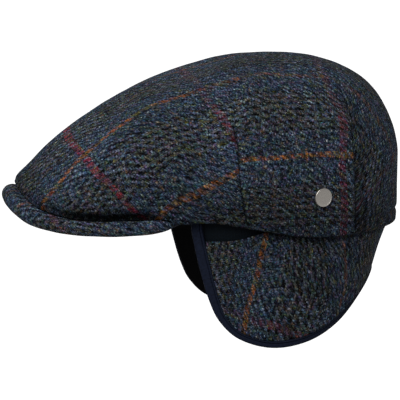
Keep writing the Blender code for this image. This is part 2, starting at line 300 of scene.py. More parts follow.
# %% Crown form
CROWN_HEIGHT = 0.1163
APEX_BEHIND = 0.026
LEVEL_HEIGHT = (0.00, 0.09, 0.20, 0.33, 0.47, 0.61, 0.73, 0.83, 0.91, 0.97, 1.00)
LEVEL_SIDE = (1.000, 1.018, 1.030, 1.028, 1.000, 0.940, 0.855, 0.740, 0.585, 0.365, 0.000)
TOP_LEVEL = len(LEVEL_HEIGHT) - 1
FRONT_FALL = 1.58
BACK_FALL = 3.6
BACK_TUCK = 0.02
# Each bulge: the share of the way up where it is, its width, and its size as a share of the edge's reach
FRONT_FULL = (0.62, 0.08, 0.0065)
FRONT_FLAT = (0.18, 0.09, 0.0065)
BACK_FULL = (0.4, 0.12, 0.026)


def curve_through(values, place):
    """Values at places along a smooth curve through evenly counted values."""
    values = np.array(values, float)
    last = len(values) - 1
    place = np.clip(place, 0.0, last)
    index = np.minimum(place.astype(int), last - 1)
    part = place - index
    before = values[np.maximum(index - 1, 0)]
    start = values[index]
    end = values[index + 1]
    after = values[np.minimum(index + 2, last)]
    bend = 2 * before - 5 * start + 4 * end - after
    twist = 3 * start - before - 3 * end + after
    return start + 0.5 * part * (end - before + part * (bend + part * twist))


def front_reach(level):
    """Share of the edge's reach that the front still has: a little flat low down, full higher up."""
    part = np.clip(level / TOP_LEVEL, 0, 1)
    return 1 - part ** FRONT_FALL + (hump(part, *FRONT_FULL) - hump(part, *FRONT_FLAT))


def back_reach(level):
    """The same for the back, which is drawn in at its edge and fullest less than half of the way up."""
    part = np.clip(level / TOP_LEVEL, 0, 1)
    return 1 - part ** BACK_FALL + hump(part, *BACK_FULL) - BACK_TUCK * (1 - part) ** 4


def crown_smooth(bearing, level):
    """Points on the crown's outside before its seams: the front and back give way quickly to the side."""
    turn = np.radians(bearing)
    ahead = np.maximum(0.0, np.cos(turn)) ** 3
    behind = np.maximum(0.0, -np.cos(turn)) ** 2
    out = (ahead * front_reach(level) + behind * back_reach(level)
           + (1 - ahead - behind) * curve_through(LEVEL_SIDE, level))
    x, y = oval(bearing, HEM_OUT + overhang(bearing))
    low = rim_height(bearing)
    height = low + (CROWN_HEIGHT - low) * curve_through(LEVEL_HEIGHT, level)
    return np.stack([x * out, APEX_BEHIND + (y - APEX_BEHIND) * out, height], axis=-1)


# %% [markdown]
# ## Cloth from a grid
# Each sheet starts as a flat grid of squares, as cloth is before it is cut. Its corners are then moved to
# their places on the form, and each corner keeps its place in the flat cloth in metres as its UV. The
# pattern is woven in that flat cloth, so it bends and meets at seams as real cloth does. The edit-mode
# tools could push a grid about, but they couldn't give it the crown's form and keep its cloth laid out.

# %% Directions and distances
TINY = 1e-12


def unit(vectors):
    """The same directions, one long."""
    return vectors / np.maximum(np.linalg.norm(vectors, axis=-1, keepdims=True), TINY)


def out_of(surface):
    """Directions straight out of a grid of points whose rows run down and columns round to the left."""
    return unit(np.cross(np.gradient(surface, axis=0), np.gradient(surface, axis=1)))


def run_along(points):
    """Distance along each line of points from its first one, with the points of a line counted by row."""
    steps = np.linalg.norm(np.diff(points, axis=0), axis=-1)
    return np.concatenate([np.zeros_like(steps[:1]), np.cumsum(steps, axis=0)])


def waver(points, length, seed, waves=12):
    """Gentle unevenness between about -1 and 1, made of crossing waves of about this length in metres."""
    dice = np.random.default_rng(seed)
    total = np.zeros(points.shape[:-1])
    for _ in range(waves):
        heading = dice.normal(size=3)
        heading /= np.linalg.norm(heading)
        size = length * dice.uniform(0.7, 1.5)
        total += np.sin(math.tau * (points @ heading) / size + dice.uniform(0, math.tau))
    return total / waves * 1.8


# %% Grid pieces


def cloth_grid(name, points, cloth, *materials):
    """A grid moved to points (rows, columns, 3), with four flat cloth places for each of its squares."""
    rows, columns = points.shape[:2]
    bpy.ops.object.select_all(action="DESELECT")
    bpy.ops.mesh.primitive_grid_add(x_subdivisions=columns - 1, y_subdivisions=rows - 1, size=1)
    piece = bpy.context.object
    piece.name = name
    piece.data.name = name
    piece.data.vertices.foreach_set("co", points.reshape(-1))
    piece.data.uv_layers[0].name = "cloth"
    piece.data.uv_layers[0].uv.foreach_set("vector", cloth.reshape(-1))
    for material in materials:
        piece.data.materials.append(material)
    piece.data.update()
    return piece


def per_square(flat):
    """Flat places (rows, columns, 2) of the grid's corners, given to the four corners of each square."""
    return np.stack([flat[:-1, :-1], flat[:-1, 1:], flat[1:, 1:], flat[1:, :-1]], axis=2)


def mark(piece, name, values):
    """Lets the corners of a grid piece carry a number that its material reads."""
    layer = piece.data.attributes.new(name, "FLOAT", "POINT")
    layer.data.foreach_set("value", np.ascontiguousarray(values, dtype=np.float32).reshape(-1))


# %% Closing and finishing a piece


def close_up(piece, distance=1e-6):
    """Merges corners that lie within the distance, if one is given, and turns all faces outwards."""
    only(piece)
    bpy.ops.object.mode_set(mode="EDIT")
    bpy.ops.mesh.select_all(action="SELECT")
    if distance:
        bpy.ops.mesh.remove_doubles(threshold=distance)
    bpy.ops.mesh.normals_make_consistent(inside=False)
    bpy.ops.object.mode_set(mode="OBJECT")
    bpy.ops.object.shade_smooth()


def thicken(piece, thickness):
    """Gives a sheet its thickness on the side that faces the head."""
    only(piece)
    face = piece.data.polygons[len(piece.data.polygons) // 4]
    faces_out = face.normal.dot(Vector((face.center.x, face.center.y, 0))) > 0
    wall = piece.modifiers.new("wall", "SOLIDIFY")
    wall.thickness = thickness
    wall.offset = -1.0 if faces_out else 1.0
    bpy.ops.object.modifier_apply(modifier="wall")
    close_up(piece, None)


def finish_piece(piece, slot, *nodes):
    """Lets a piece ride on the cap and stand for its solid, and prints its size."""
    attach(piece, "root")
    if nodes:
        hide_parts(*nodes)
    triangles = sum(len(face.vertices) - 2 for face in piece.data.polygons)
    print("%s: %d triangles" % (piece.name, triangles), [round(side, 4) for side in piece.dimensions])


# %% [markdown]
# ## A short way to write nodes
# A weave is arithmetic: which yarn is this, how far along it are we, what colour is it here. The class
# gives each kind of node a short name, so that the node trees below read like sums. Everything starts from
# the place in the flat cloth, and from numbers that the piece's own corners carry.

# %% Node helpers


class Nodes:
    """A new material, and short names for its nodes."""

    def __init__(self, name):
        self.material, self.shader = node_material(name)
        self.tree = self.material.node_tree

    def put(self, socket, value):
        """Joins a node's output to a socket, or sets the socket to a number."""
        if isinstance(value, bpy.types.NodeSocket):
            self.tree.links.new(value, socket)
        else:
            socket.default_value = value

    def new(self, kind, *values):
        """A new node with its first sockets joined or set."""
        node = self.tree.nodes.new("ShaderNode" + kind)
        for socket, value in zip(node.inputs, values):
            self.put(socket, value)
        return node

    def math(self, operation, *values):
        node = self.new("Math", *values)
        node.operation = operation
        return node.outputs[0]

    def times(self, first, second):
        return self.math("MULTIPLY", first, second)

    def plus(self, first, second):
        return self.math("ADD", first, second)

    def minus(self, first, second):
        return self.math("SUBTRACT", first, second)

    def scaled(self, value, factor, added):
        """The value times the factor, plus what is added."""
        return self.math("MULTIPLY_ADD", value, factor, added)

    def gap(self, first, second):
        """How far apart two numbers are."""
        return self.math("ABSOLUTE", self.minus(first, second))

    def within(self, value, length):
        """Where in a repeat of this length a value lies."""
        return self.math("FLOORED_MODULO", value, float(length))

    def arch(self, part):
        """0 at 0 and at 1, and 1 half way."""
        return self.math("SINE", self.times(part, math.pi))

    def choose(self, share, first, second):
        """The first number where share is 1, the second where it is 0."""
        return self.plus(self.times(first, share), self.times(second, self.minus(1.0, share)))

    def range(self, value, low, high, to_low=0.0, to_high=1.0, smooth=False):
        """A value between low and high, turned into one between to_low and to_high."""
        node = self.new("MapRange", value, low, high, to_low, to_high)
        node.interpolation_type = "SMOOTHSTEP" if smooth else "LINEAR"
        return node.outputs[0]

    def split(self, vector):
        return self.new("SeparateXYZ", vector).outputs[:2]

    def cloth(self, first_scale, second_scale):
        """The two places in the piece's flat cloth, in metres times these numbers."""
        place = self.new("UVMap")
        place.uv_map = "cloth"
        first, second = self.split(place.outputs[0])
        return self.times(first, first_scale), self.times(second, second_scale)

    def attribute(self, name):
        """A number that the piece's own corners carry, or nothing where a piece has none."""
        node = self.new("Attribute")
        node.attribute_name = name
        return node.outputs["Fac"]

    def noise(self, x, y, scale=1.0, detail=1.0, layer=None, output="Fac"):
        """Cloudy noise over a place. Another layer gives another noise over the same place."""
        node = self.new("TexNoise")
        node.noise_dimensions = "2D" if layer is None else "3D"
        place = self.new("CombineXYZ", x, y, layer or 0.0)
        for name, value in (("Vector", place.outputs[0]), ("Scale", scale), ("Detail", detail)):
            self.put(node.inputs[name], value)
        return node.outputs[output]

    def ramp(self, value, stops):
        """A colour for each value, between stops given as (place, colour)."""
        node = self.new("ValToRGB", value)
        elements = node.color_ramp.elements
        while len(elements) < len(stops):
            elements.new(0.5)
        for element, (place, colour) in zip(elements, stops):
            element.position = place
            element.color = colour
        return node.outputs[0]

    def mix(self, share, first, second, blend="MIX"):
        node = self.new("Mix")
        node.data_type = "RGBA"
        node.blend_type = blend
        for name, value in (("Factor", share), ("A", first), ("B", second)):
            self.put(node.inputs[name], value)
        return node.outputs["Result"]

    def dimmed(self, colour, light):
        """A colour made darker or lighter by a number."""
        return self.mix(1.0, colour, self.new("CombineColor", light, light, light).outputs[0], "MULTIPLY")

    def finish(self, colour, roughness, height, strength, depth, gloss=0.5):
        """Gives the shader its colour, roughness, gloss and relief, and returns the material."""
        bump = self.new("Bump")
        for name, value in (("Strength", strength), ("Distance", depth), ("Height", height)):
            self.put(bump.inputs[name], value)
        for name, value in (("Base Color", colour), ("Roughness", roughness), ("Normal", bump.outputs[0]),
                            ("Specular IOR Level", gloss)):
            self.put(self.shader.inputs[name], value)
        return self.material


def ink(red, green, blue):
    """A colour given as it looks on a screen, from 0 to 255, turned into the light that it reflects."""
    lit = [(part / 255) / 12.92 if part < 10 else ((part / 255 + 0.055) / 1.055) ** 2.4
           for part in (red, green, blue)]
    return (*lit, 1.0)


def inks(*stops):
    """Stops of a colour ramp, each given as (place, red, green, blue)."""
    return [(place, ink(*colour)) for place, *colour in stops]


# %% [markdown]
# ## Tweed: which yarn is on top
# The cloth is a two-and-two twill: each yarn goes over two and under two, and each next yarn steps along by
# one, which draws the diagonal ribs. Yarns spun and woven by hand wander a little, and that is added to the
# place before the yarns are counted.

# %% Yarns of the twill
REPEAT = 56
ACROSS_PITCH = 93.0 / REPEAT
ALONG_PITCH = 65.0 / REPEAT
RED_PLACE = 160.0
ORANGE_PLACE = 54.0
# How far single yarns wander and the whole cloth drifts, in millimetres, forwards and sideways
YARN_WANDER = (1.1, 0.4)
CLOTH_DRIFT = (5.0, 4.0)


def wandering(n, u, v):
    """The place in the cloth in millimetres, moved a little by loose yarns and more by the whole cloth."""
    loose = n.split(n.noise(u, v, 0.33, output="Color"))
    slow = n.split(n.noise(u, v, 0.035, 0.0, output="Color"))
    return [n.plus(place, n.scaled(near, wander, n.scaled(far, drift, -(wander + drift) / 2)))
            for place, near, far, wander, drift in zip((u, v), loose, slow, YARN_WANDER, CLOTH_DRIFT)]


def count_yarns(n, place, zero, pitch):
    """A place counted in yarns, the number of the yarn there, and how far across that yarn it is."""
    counted = n.math("DIVIDE", n.minus(place, zero), pitch)
    return counted, n.math("FLOOR", counted), n.math("FRACT", counted)


def twill(n, across_yarn, along_yarn):
    """The step within the twill's repeat of four, and whether the yarn that runs as the red ones is up."""
    step = n.within(n.plus(across_yarn, along_yarn), 4)
    return step, n.math("LESS_THAN", step, 1.5)


print("tweed: %.2f by %.2f mm between yarns" % (ACROSS_PITCH, ALONG_PITCH))

# %% [markdown]
# ## Tweed: the yarns' colours
# In both directions blocks of plain blue yarn change with blocks of two dark and two light yarns. A red or
# an orange line of a few yarns runs down the middle of each blue block. Heather wool is dyed before it is
# spun, so no yarn has one colour: each one changes along its run, within a short ramp of its own hues.

# %% Yarn colours
BLUE_YARNS = 30
FIRST_ACCENT = 14
BLUE_ACROSS = inks((0.28, 26, 34, 49), (0.42, 46, 57, 73), (0.55, 74, 87, 100), (0.68, 107, 115, 122))
BLUE_ALONG = inks((0.28, 14, 18, 28), (0.45, 25, 32, 46), (0.58, 40, 52, 66), (0.72, 78, 89, 99))
DARK_YARN = inks((0.30, 16, 19, 16), (0.45, 12, 13, 16), (0.55, 23, 19, 18), (0.68, 13, 14, 24))
LIGHT_YARN = inks((0.30, 59, 59, 48), (0.42, 55, 57, 58), (0.54, 64, 59, 52), (0.64, 49, 55, 52),
                  (0.75, 59, 52, 57))
ACROSS_CONTRAST = 0.40
ALONG_CONTRAST = 1.0


def yarn_colour(n, yarn, run, seed, blue, contrast):
    """Colour of one yarn along its run: blue, or dark and light in turn, by its number in the repeat."""
    count = n.within(n.plus(yarn, float(FIRST_ACCENT)), REPEAT)
    striped = n.math("GREATER_THAN", count, BLUE_YARNS - 0.5)
    light = n.math("GREATER_THAN", n.within(n.minus(count, float(BLUE_YARNS)), 4), 1.5)
    lane = n.scaled(yarn, 7.37, seed)
    slow = n.noise(lane, n.times(run, 0.055))
    tuft = n.noise(lane, n.times(run, 0.55), detail=2.0)
    check = n.mix(light, n.ramp(slow, DARK_YARN), n.ramp(slow, LIGHT_YARN))
    return n.mix(n.times(striped, contrast), n.ramp(tuft, blue), check)


# %% [markdown]
# ## Tweed: red and orange lines
# The accent yarns come to the top together, in a row of soft beads of several hues. How wide they spread
# and how worn they are differs over the cap, so the corners carry that as numbers. One orange slub, a thick
# place in the yarn, crosses the line above the badge.

# %% Accent yarns
REDS = inks((0.34, 76, 44, 44), (0.43, 108, 30, 45), (0.51, 84, 40, 44), (0.59, 112, 36, 50),
            (0.68, 72, 48, 44))
ORANGES = inks((0.32, 88, 44, 32), (0.40, 126, 68, 26), (0.48, 104, 70, 34), (0.55, 132, 72, 28),
               (0.62, 82, 76, 42), (0.70, 94, 54, 32))
ACCENT_HALF = 1.1
ACCENT_EDGE = 0.55
RED_BEAD = 4.9
ORANGE_BEAD = 4.0
# The slub's place in the cloth in millimetres, and where it fades out beside and along its middle
SLUB_PLACE = (3.4, 119.5)
SLUB_BESIDE = (0.4, 1.2)
SLUB_ALONG = (2.0, 6.0)
SLUB_SHOWS = 0.9
SLUB_COLOUR = ink(140, 92, 34)


def accent_yarns(n, place):
    """Where in the repeat the accent yarns lie, as soft-edged lines."""
    off = n.gap(n.within(n.plus(place, float(FIRST_ACCENT)), REPEAT), FIRST_ACCENT + 1.0)
    half = n.plus(n.attribute("accent_spread"), ACCENT_HALF)
    return n.range(n.minus(off, half), 0.0, ACCENT_EDGE, 1.0, 0.0, True)


def beads(n, own, other, yarns, seed):
    """A row of beads, each so many yarns long: how much shows, and each bead's own hue."""
    bead = n.math("DIVIDE", n.scaled(own, 0.6, other), yarns)
    arch = n.arch(n.math("FRACT", bead))
    hue = n.noise(n.scaled(n.math("FLOOR", bead), 5.31, seed), seed)
    return n.range(arch, 0.2, 0.75, 0.16, 0.96, True), hue


def add_accents(n, colour, u, v, across, along):
    """Lays the red and the orange lines over the cloth's colour, worn thin in places."""
    worn = n.times(n.range(n.noise(u, v, 0.45, layer=11.0), 0.32, 0.56, 0.5, 1.0),
                   n.minus(1.0, n.attribute("check_faded")))
    red_worn = n.times(worn, n.minus(1.0, n.attribute("red_faded")))
    for own, other, length, seed, left, hues in ((across, along, RED_BEAD, 17.0, red_worn, REDS),
                                                 (along, across, ORANGE_BEAD, 41.0, worn, ORANGES)):
        bead, hue = beads(n, own, other, length, seed)
        colour = n.mix(n.times(n.times(accent_yarns(n, own), bead), left), colour, n.ramp(hue, hues))
    return colour


def slub_here(n, u, v):
    """How much of the orange slub there is at a place in the flat cloth."""
    beside, along = (n.gap(place, middle) for place, middle in zip((u, v), SLUB_PLACE))
    return n.times(n.range(beside, *SLUB_BESIDE, SLUB_SHOWS, 0.0, True),
                   n.range(along, *SLUB_ALONG, 1.0, 0.0, True))


# %% [markdown]
# ## Tweed: heather, fibres and relief
# Seen close, tweed is full of stray fibres: green, teal, violet and brown flecks in the spinning, fine
# twisted streaks along each yarn, curled fibres that stand off and catch the light, given as a painted
# highlight, and pale kemp, the coarse hair that takes no dye. Each is one noise, and those with a direction
# are stretched and slanted the way the fibres lie. The yarns themselves are little hills, with painted shade
# in the gaps between them.

# %% Heather and fibres
FLECKS = inks((0.32, 84, 84, 40), (0.40, 44, 80, 68), (0.48, 40, 68, 100), (0.55, 70, 50, 46),
              (0.60, 68, 52, 94), (0.68, 92, 70, 44))
# Broad patches change the balance of red, green and blue a little
TINTS = ((0.34, (1.12, 1.02, 0.72, 1)), (0.42, (0.82, 1.04, 1.00, 1)), (0.50, (0.86, 0.98, 1.16, 1)),
         (0.58, (1.06, 0.92, 1.16, 1)), (0.66, (1.10, 1.00, 0.84, 1)))
KEMP = ink(128, 134, 138)
# How much of each shows
FLECKS_SHOW = 0.6
TINTS_SHOW = 0.9
KEMP_SHOWS = 0.6
# How light each makes the cloth, from its lowest to its highest value
STREAK_LIGHT = (0.10, 2.5)
BROAD_LIGHT = (0.78, 1.24)
# Curled fibres: a painted highlight along each one
CURL_PAINTED_HIGHLIGHT = (1.75, 0.84)
# Yarn hills: painted shade in the gaps between yarns, a little lighter on their tops
HILL_PAINTED_SHADE = (0.58, 1.10)


def add_heather(n, colour, u, v):
    """Flecks of other colours, larger heather patches, and pale kemp."""
    fleck = n.noise(n.times(u, 0.45), n.times(v, 0.62), detail=2.0)
    fleck_shown = n.range(fleck, 0.50, 0.64, 0.0, FLECKS_SHOW, True)
    colour = n.mix(fleck_shown, colour, n.ramp(n.noise(u, v, 0.16), FLECKS))
    colour = n.mix(TINTS_SHOW, colour, n.ramp(n.noise(u, v, 0.2, layer=7.0), TINTS), "MULTIPLY")
    kemp = n.noise(n.scaled(v, 0.5, u), n.times(v, 0.55), 1.25, layer=5.0)
    return n.mix(n.range(kemp, 0.66, 0.74, 0.0, KEMP_SHOWS, True), colour, KEMP)


def streaks(n, width, run, layer):
    """Fine twisted streaks along a yarn, light and dark."""
    return n.noise(n.times(n.scaled(run, 0.42, width), 1.05), n.times(run, 0.30), detail=2.5, layer=layer)


def fibre_light(n, u, v, on_top):
    """How light the fibres are: streaks along the yarn on top, broad changes, and a painted highlight along
    curled fibres.
    """
    chosen = n.choose(on_top, streaks(n, u, v, 1.3), streaks(n, v, u, 8.6))
    light = n.range(chosen, 0.35, 0.68, *STREAK_LIGHT)
    light = n.times(light, n.range(n.noise(u, v, 0.42, layer=3.0), 0.3, 0.7, *BROAD_LIGHT))
    # The line where a noise crosses its middle value winds about like a curled fibre, which gets a painted
    # highlight
    from_line = n.gap(n.noise(u, v, 0.55, layer=23.0), 0.5)
    return n.times(light, n.range(from_line, 0.008, 0.055, *CURL_PAINTED_HIGHLIGHT, True))


# %% Relief of the yarns
def yarn_hill(n, step, on_top, across_part, along_part):
    """Height of the yarn on top: each float over two yarns is a little hill, and the gaps lie low."""
    over_across = n.math("DIVIDE", n.plus(step, along_part), 2.0)
    over_along = n.math("DIVIDE", n.plus(n.minus(step, 2.0), across_part), 2.0)
    length_part = n.choose(on_top, over_across, over_along)
    width_part = n.choose(on_top, across_part, along_part)
    arch = n.arch(n.math("MINIMUM", n.math("MAXIMUM", length_part, 0.0), 1.0))
    return n.math("POWER", n.math("MAXIMUM", n.times(arch, n.arch(width_part)), 0.0), 0.6)


# %% [markdown]
# ## Tweed: the whole cloth
# The parts come together in one material, which crown, peak and flap share, as they are cut from one cloth.
# Wool has almost no gloss. The corners also carry a number of painted shade, which darkens the cloth in
# seams, folds and low down, and a negative number is painted light, which makes the cloth a little paler.

# %% Tweed material
TWEED_SHADE = 0.25
ACROSS_ON_TOP = 0.66
# How strongly the corners' painted shade and painted light change the cloth's colour
PAINTED_SHADE_SCALE = -0.9


def tweed(name):
    """Checked tweed woven in the piece's flat cloth."""
    n = Nodes(name)
    u, v = n.cloth(1000.0, 1000.0)
    slub = slub_here(n, u, v)
    u, v = wandering(n, u, v)
    across, across_yarn, across_part = count_yarns(n, u, RED_PLACE, ACROSS_PITCH)
    along, along_yarn, along_part = count_yarns(n, v, ORANGE_PLACE, ALONG_PITCH)
    step, on_top = twill(n, across_yarn, along_yarn)
    colour = n.mix(n.times(on_top, ACROSS_ON_TOP),
                   yarn_colour(n, along_yarn, u, 91.7, BLUE_ALONG, ALONG_CONTRAST),
                   yarn_colour(n, across_yarn, v, 3.1, BLUE_ACROSS, ACROSS_CONTRAST))
    colour = n.mix(slub, add_accents(n, colour, u, v, across, along), SLUB_COLOUR)
    colour = add_heather(n, colour, u, v)
    hill = yarn_hill(n, step, on_top, across_part, along_part)
    # Painted shade in the gaps between the yarns, a little lighter on their tops
    light = n.times(fibre_light(n, u, v, on_top), n.range(hill, 0.0, 0.8, *HILL_PAINTED_SHADE))
    # Painted shade and painted light that the corners carry: darker in seams, folds and low down, paler in
    # front
    light = n.times(n.times(light, TWEED_SHADE), n.scaled(n.attribute("painted_shade_and_light"), PAINTED_SHADE_SCALE, 1.0))
    fuzz = n.noise(u, v, 1.9, 3.0)
    return n.finish(n.dimmed(colour, light), n.range(fuzz, 0.3, 0.7, 0.85, 1.0), n.scaled(fuzz, 0.7, hill),
                    strength=0.8, depth=0.0005, gloss=0.02)


crown_tweed = tweed("crown_tweed")
print("tweed:", len(crown_tweed.node_tree.nodes), "nodes")

# %% [markdown]
# ## Plain cloths
# The crown and the flaps are lined in black, the flap is bound with a ribbed navy tape, and a navy band goes
# round the head, darkened almost to black as painted shade for the hem's shadow. All three are plain weaves
# that differ in colour and in how close their threads lie, so one recipe makes them: ribs one way, fine
# threads the other, and a little unevenness.

# %% Plain cloths


def plain_cloth(name, colour, rib_along, rib_round, depth, gloss):
    """A plain woven or ribbed cloth of one colour, with this many millimetres between ribs and threads."""
    n = Nodes(name)
    along, across = n.cloth(1000.0, 1000.0)
    loose = n.noise(along, across, 0.7, 2.0)
    rib = n.math("SINE", n.scaled(along, math.tau / rib_along, n.times(loose, 1.8)))
    thread = n.math("SINE", n.times(across, math.tau / rib_round))
    weave = n.scaled(n.times(rib, thread), 0.25, n.times(rib, 0.5))
    light = n.plus(n.range(weave, -0.8, 0.8, 0.62, 1.38), n.range(loose, 0.3, 0.7, -0.28, 0.28))
    return n.finish(n.dimmed(colour, light), n.range(loose, 0.3, 0.7, 0.62, 0.82),
                    n.scaled(loose, 0.5, weave), strength=0.7, depth=depth, gloss=gloss)


lining_black = plain_cloth("lining_black", (0.0009, 0.0009, 0.001, 1), 0.9, 0.9, 0.00008, 0.03)
navy = plain_cloth("navy_ribbed_tape", ink(7, 10, 19), 0.8, 1.1, 0.00015, 0.02)
# The band's colour is navy darkened almost to black: painted shade for the hem's shadow over it
navy_band = plain_cloth("navy_band_painted_shade", (0.0007, 0.0015, 0.0024, 1), 1.0, 2.2, 0.00015, 0.03)
print("cloths:", lining_black.name, navy.name, navy_band.name)

# %% [markdown]
# ## Crown
# The crown is one large cut of tweed with four darts: two beside the temples and two behind the ears. The
# grid's columns run from the top down to the edge, closer together at the darts, and follow each dart's
# line, so that a seam is a line of the grid and not a smear across it.

# %% Crown columns
FRONT_DART = 82.0
REAR_DART = 129.5
DART_PATH_LEVEL = (0.0, 1.6, 2.5, 4.2, 5.0, 6.5, 10.0)
FRONT_DART_PATH = (85.5, 84.5, 83.5, 82.0, 79.5, 79.5, 79.5)
REAR_DART_PATH = (129.0, 128.6, 128.2, 128.2, 129.0, 131.5, 131.5)
DART_SWAY = 20
FINE_STEP = 0.25
WIDER_STEP = 0.62
FINE_REACH = 4


def column_bearings():
    """Bearings from nape round to nape, close together beside each dart."""
    half = [0.0]
    while half[-1] < 180:
        near = min(abs(half[-1] - dart) for dart in (FRONT_DART, REAR_DART))
        half.append(half[-1] + FINE_STEP + WIDER_STEP * float(ease(near / FINE_REACH)))
    half = np.array(half)
    for dart in (FRONT_DART, REAR_DART):
        half[np.argmin(np.abs(half - dart))] = dart
    half[-1] = 180.0
    return np.concatenate([-half[:0:-1], half])


def follow_darts(bearing, level):
    """Moves columns sideways so that the dart columns run along the darts."""
    place = fold(bearing)
    move = 0.0
    for dart, path in ((FRONT_DART, FRONT_DART_PATH), (REAR_DART, REAR_DART_PATH)):
        sway = np.interp(level, DART_PATH_LEVEL, path) - dart
        move = move + sway * ease(1 - np.abs(place - dart) / DART_SWAY)
    return bearing + np.sign(bearing) * move


columns = column_bearings()

# %% Crown rows
ROWS = 150
SIDE_BEARING = 95.0
FINE_COUNT = 2001
ROLL_LEVELS = 1.5
# Rows are spaced evenly down the left side
fine_level = np.linspace(TOP_LEVEL, 0.0, FINE_COUNT)
run_down = run_along(crown_smooth(np.full(FINE_COUNT, SIDE_BEARING), fine_level))
levels = np.interp(np.linspace(0, run_down[-1], ROWS), run_down, fine_level)
level_grid = np.tile(levels[:, None], (1, len(columns)))
bearing_grid = follow_darts(np.tile(columns, (ROWS, 1)), level_grid)
rim_bearing = bearing_grid[-1]
# The outside ends where the hem's roll begins, at the same height above the edge all the way round
roll_share = HEM_THICK / 2 / (CROWN_HEIGHT - rim_height(rim_bearing))
fine_low = np.linspace(0, 1, 101)
roll_level = np.interp(roll_share, curve_through(LEVEL_HEIGHT, fine_low), fine_low)
level_grid = level_grid + roll_level * ease(1 - level_grid / ROLL_LEVELS)
smooth = crown_smooth(bearing_grid, level_grid)
print("crown: %d columns, %d rows" % (len(columns), ROWS))

# %% [markdown]
# ### Laying the cloth flat
# To know where each point lies in the flat cloth, the crown is unrolled from its top: the distance down a
# meridian stays as it is, and the angle between two meridians is their distance apart divided by that
# length. The front, the sides and the back are each unrolled from their own middle line, so the pattern
# breaks at the darts, where a wedge of cloth was sewn away.

# %% Unroll the crown
SIDE_MIDDLE = 103
FIRST_TRUE_ROW = 3


def column_at(bearing):
    """Number of the column nearest to a bearing."""
    return int(np.argmin(np.abs(columns - bearing)))


def unroll(surface, panel_middles, panel_of):
    """Flat places for the corners of each square, each panel unrolled from its own middle column."""
    far = run_along(surface)
    step = np.diff(surface, axis=1)
    slope = unit(np.gradient(surface, axis=0))
    slope = (slope[:, 1:] + slope[:, :-1]) / 2
    straight = np.sqrt(np.maximum(0, (step ** 2).sum(axis=2) - (step * slope).sum(axis=2) ** 2))
    turn = straight / np.maximum((far[:, 1:] + far[:, :-1]) / 2, 1e-9)
    turn[:FIRST_TRUE_ROW - 1] = turn[FIRST_TRUE_ROW - 1]
    total = np.concatenate([np.zeros((surface.shape[0], 1)), np.cumsum(turn, axis=1)], axis=1)
    top_turn = total[FIRST_TRUE_ROW]
    flat = np.zeros((surface.shape[0] - 1, surface.shape[1] - 1, 4, 2))
    for panel, middle in enumerate(panel_middles):
        angle = total - total[:, middle:middle + 1] + top_turn[middle] - top_turn[column_at(0)]
        places = np.stack([far * np.cos(angle), far * np.sin(angle)], axis=2)
        here = panel_of == panel
        flat[:, here] = per_square(places)[:, here]
    return flat


middle_bearing = (columns[1:] + columns[:-1]) / 2
panel_of = np.digitize(middle_bearing, (-REAR_DART, -FRONT_DART, FRONT_DART, REAR_DART))
panel_middles = [column_at(bearing) for bearing in (-180, -SIDE_MIDDLE, 0, SIDE_MIDDLE, 180)]
flat = unroll(smooth, panel_middles, panel_of)
print("cloth reaches from %.0f to %.0f mm" % (flat[..., 0].min() * 1000, flat[..., 0].max() * 1000))

# %% [markdown]
# ### How sewing moved the check
# These small moves were set beside the photo's lines. u counts forwards from the top and v
# sideways, both in metres.

# %% Pressed and sewn cloth


def ease_cloth(flat, panel_of):
    """The small amounts by which pressing and sewing moved the check, in metres."""
    u, v = flat[..., 0], flat[..., 1]
    away = np.abs(v)
    # Down the sides the cross lines lie up to 9 mm further back, and less so over the peak
    new_u = u + 0.009 * (1 - 0.65 * rising(u, 0.100, 0.05)) * rising(away, 0.040, 0.050)
    # The long lines beside the top lie nearer the middle over the peak and behind, further off in between
    near_top = ease(away / 0.03) * (1 - rising(away, 0.070, 0.045))
    shift = (0.003 * rising(u, 0.120, 0.02) - hump(u, 0.075, 0.032, 0.008)
             + 0.008 * falling(u, -0.005, 0.03) + 0.008 * falling(u, -0.080, 0.04))
    # The side panels are cut a little askew
    shear = -0.2 * u * rising(away, 0.060, 0.045) * np.isin(panel_of, (1, 3))[None, :, None]
    # In front of the front dart the cloth was pulled up to the seam, so its stripes come to it at a slant
    from_dart = FRONT_DART - np.abs(np.stack([columns[:-1], columns[1:], columns[1:], columns[:-1]], axis=1))
    slant = (hump(from_dart, 22, 5, 0.0012) - hump(from_dart, 12, 5, 0.0018)
             - hump(from_dart, 0, 10, 0.0028)) * (panel_of == 2)[:, None]
    new_v = v + np.sign(v) * (shift * near_top + shear)
    new_v = new_v + np.sign(v) * slant[None] * rising(away, 0.080, 0.025)
    return np.stack([new_u, new_v], axis=-1)


crown_flat = ease_cloth(flat, panel_of)
print("check moved by up to %.1f mm" % (np.abs(crown_flat - flat).max() * 1000))

# %% [markdown]
# ### Seams, puffs and waves
# A dart is sewn on the wrong side, so outside it is a narrow valley with a soft ridge on either side, with
# painted shade in its depth. The cloth is drawn in along the hem's stitches and behind the rear dart, sinks a
# little in front of the top, and waves everywhere. None of it is more than a few millimetres, so it is added
# straight out of the smooth form, corner by corner.

# %% Dart seams
# About how many millimetres of cloth one degree is, round the side
MM_PER_DEGREE = 1.75
# The ridges: millimetres from the seam, their width, and their height in metres
RIDGE = (4.5, 3.0, 0.0005)
VALLEY_WIDTH = 0.95
# How much painted shade lies along a dart's seam in all
DART_PAINTED_SHADE = 0.00055
# Each dart's column, the level where it runs out, its depth and half the width of its line of painted shade,
# in metres
DARTS = ((FRONT_DART, 5.6, 0.0011, 0.00059), (REAR_DART, 7.2, 0.0011, 0.0010))


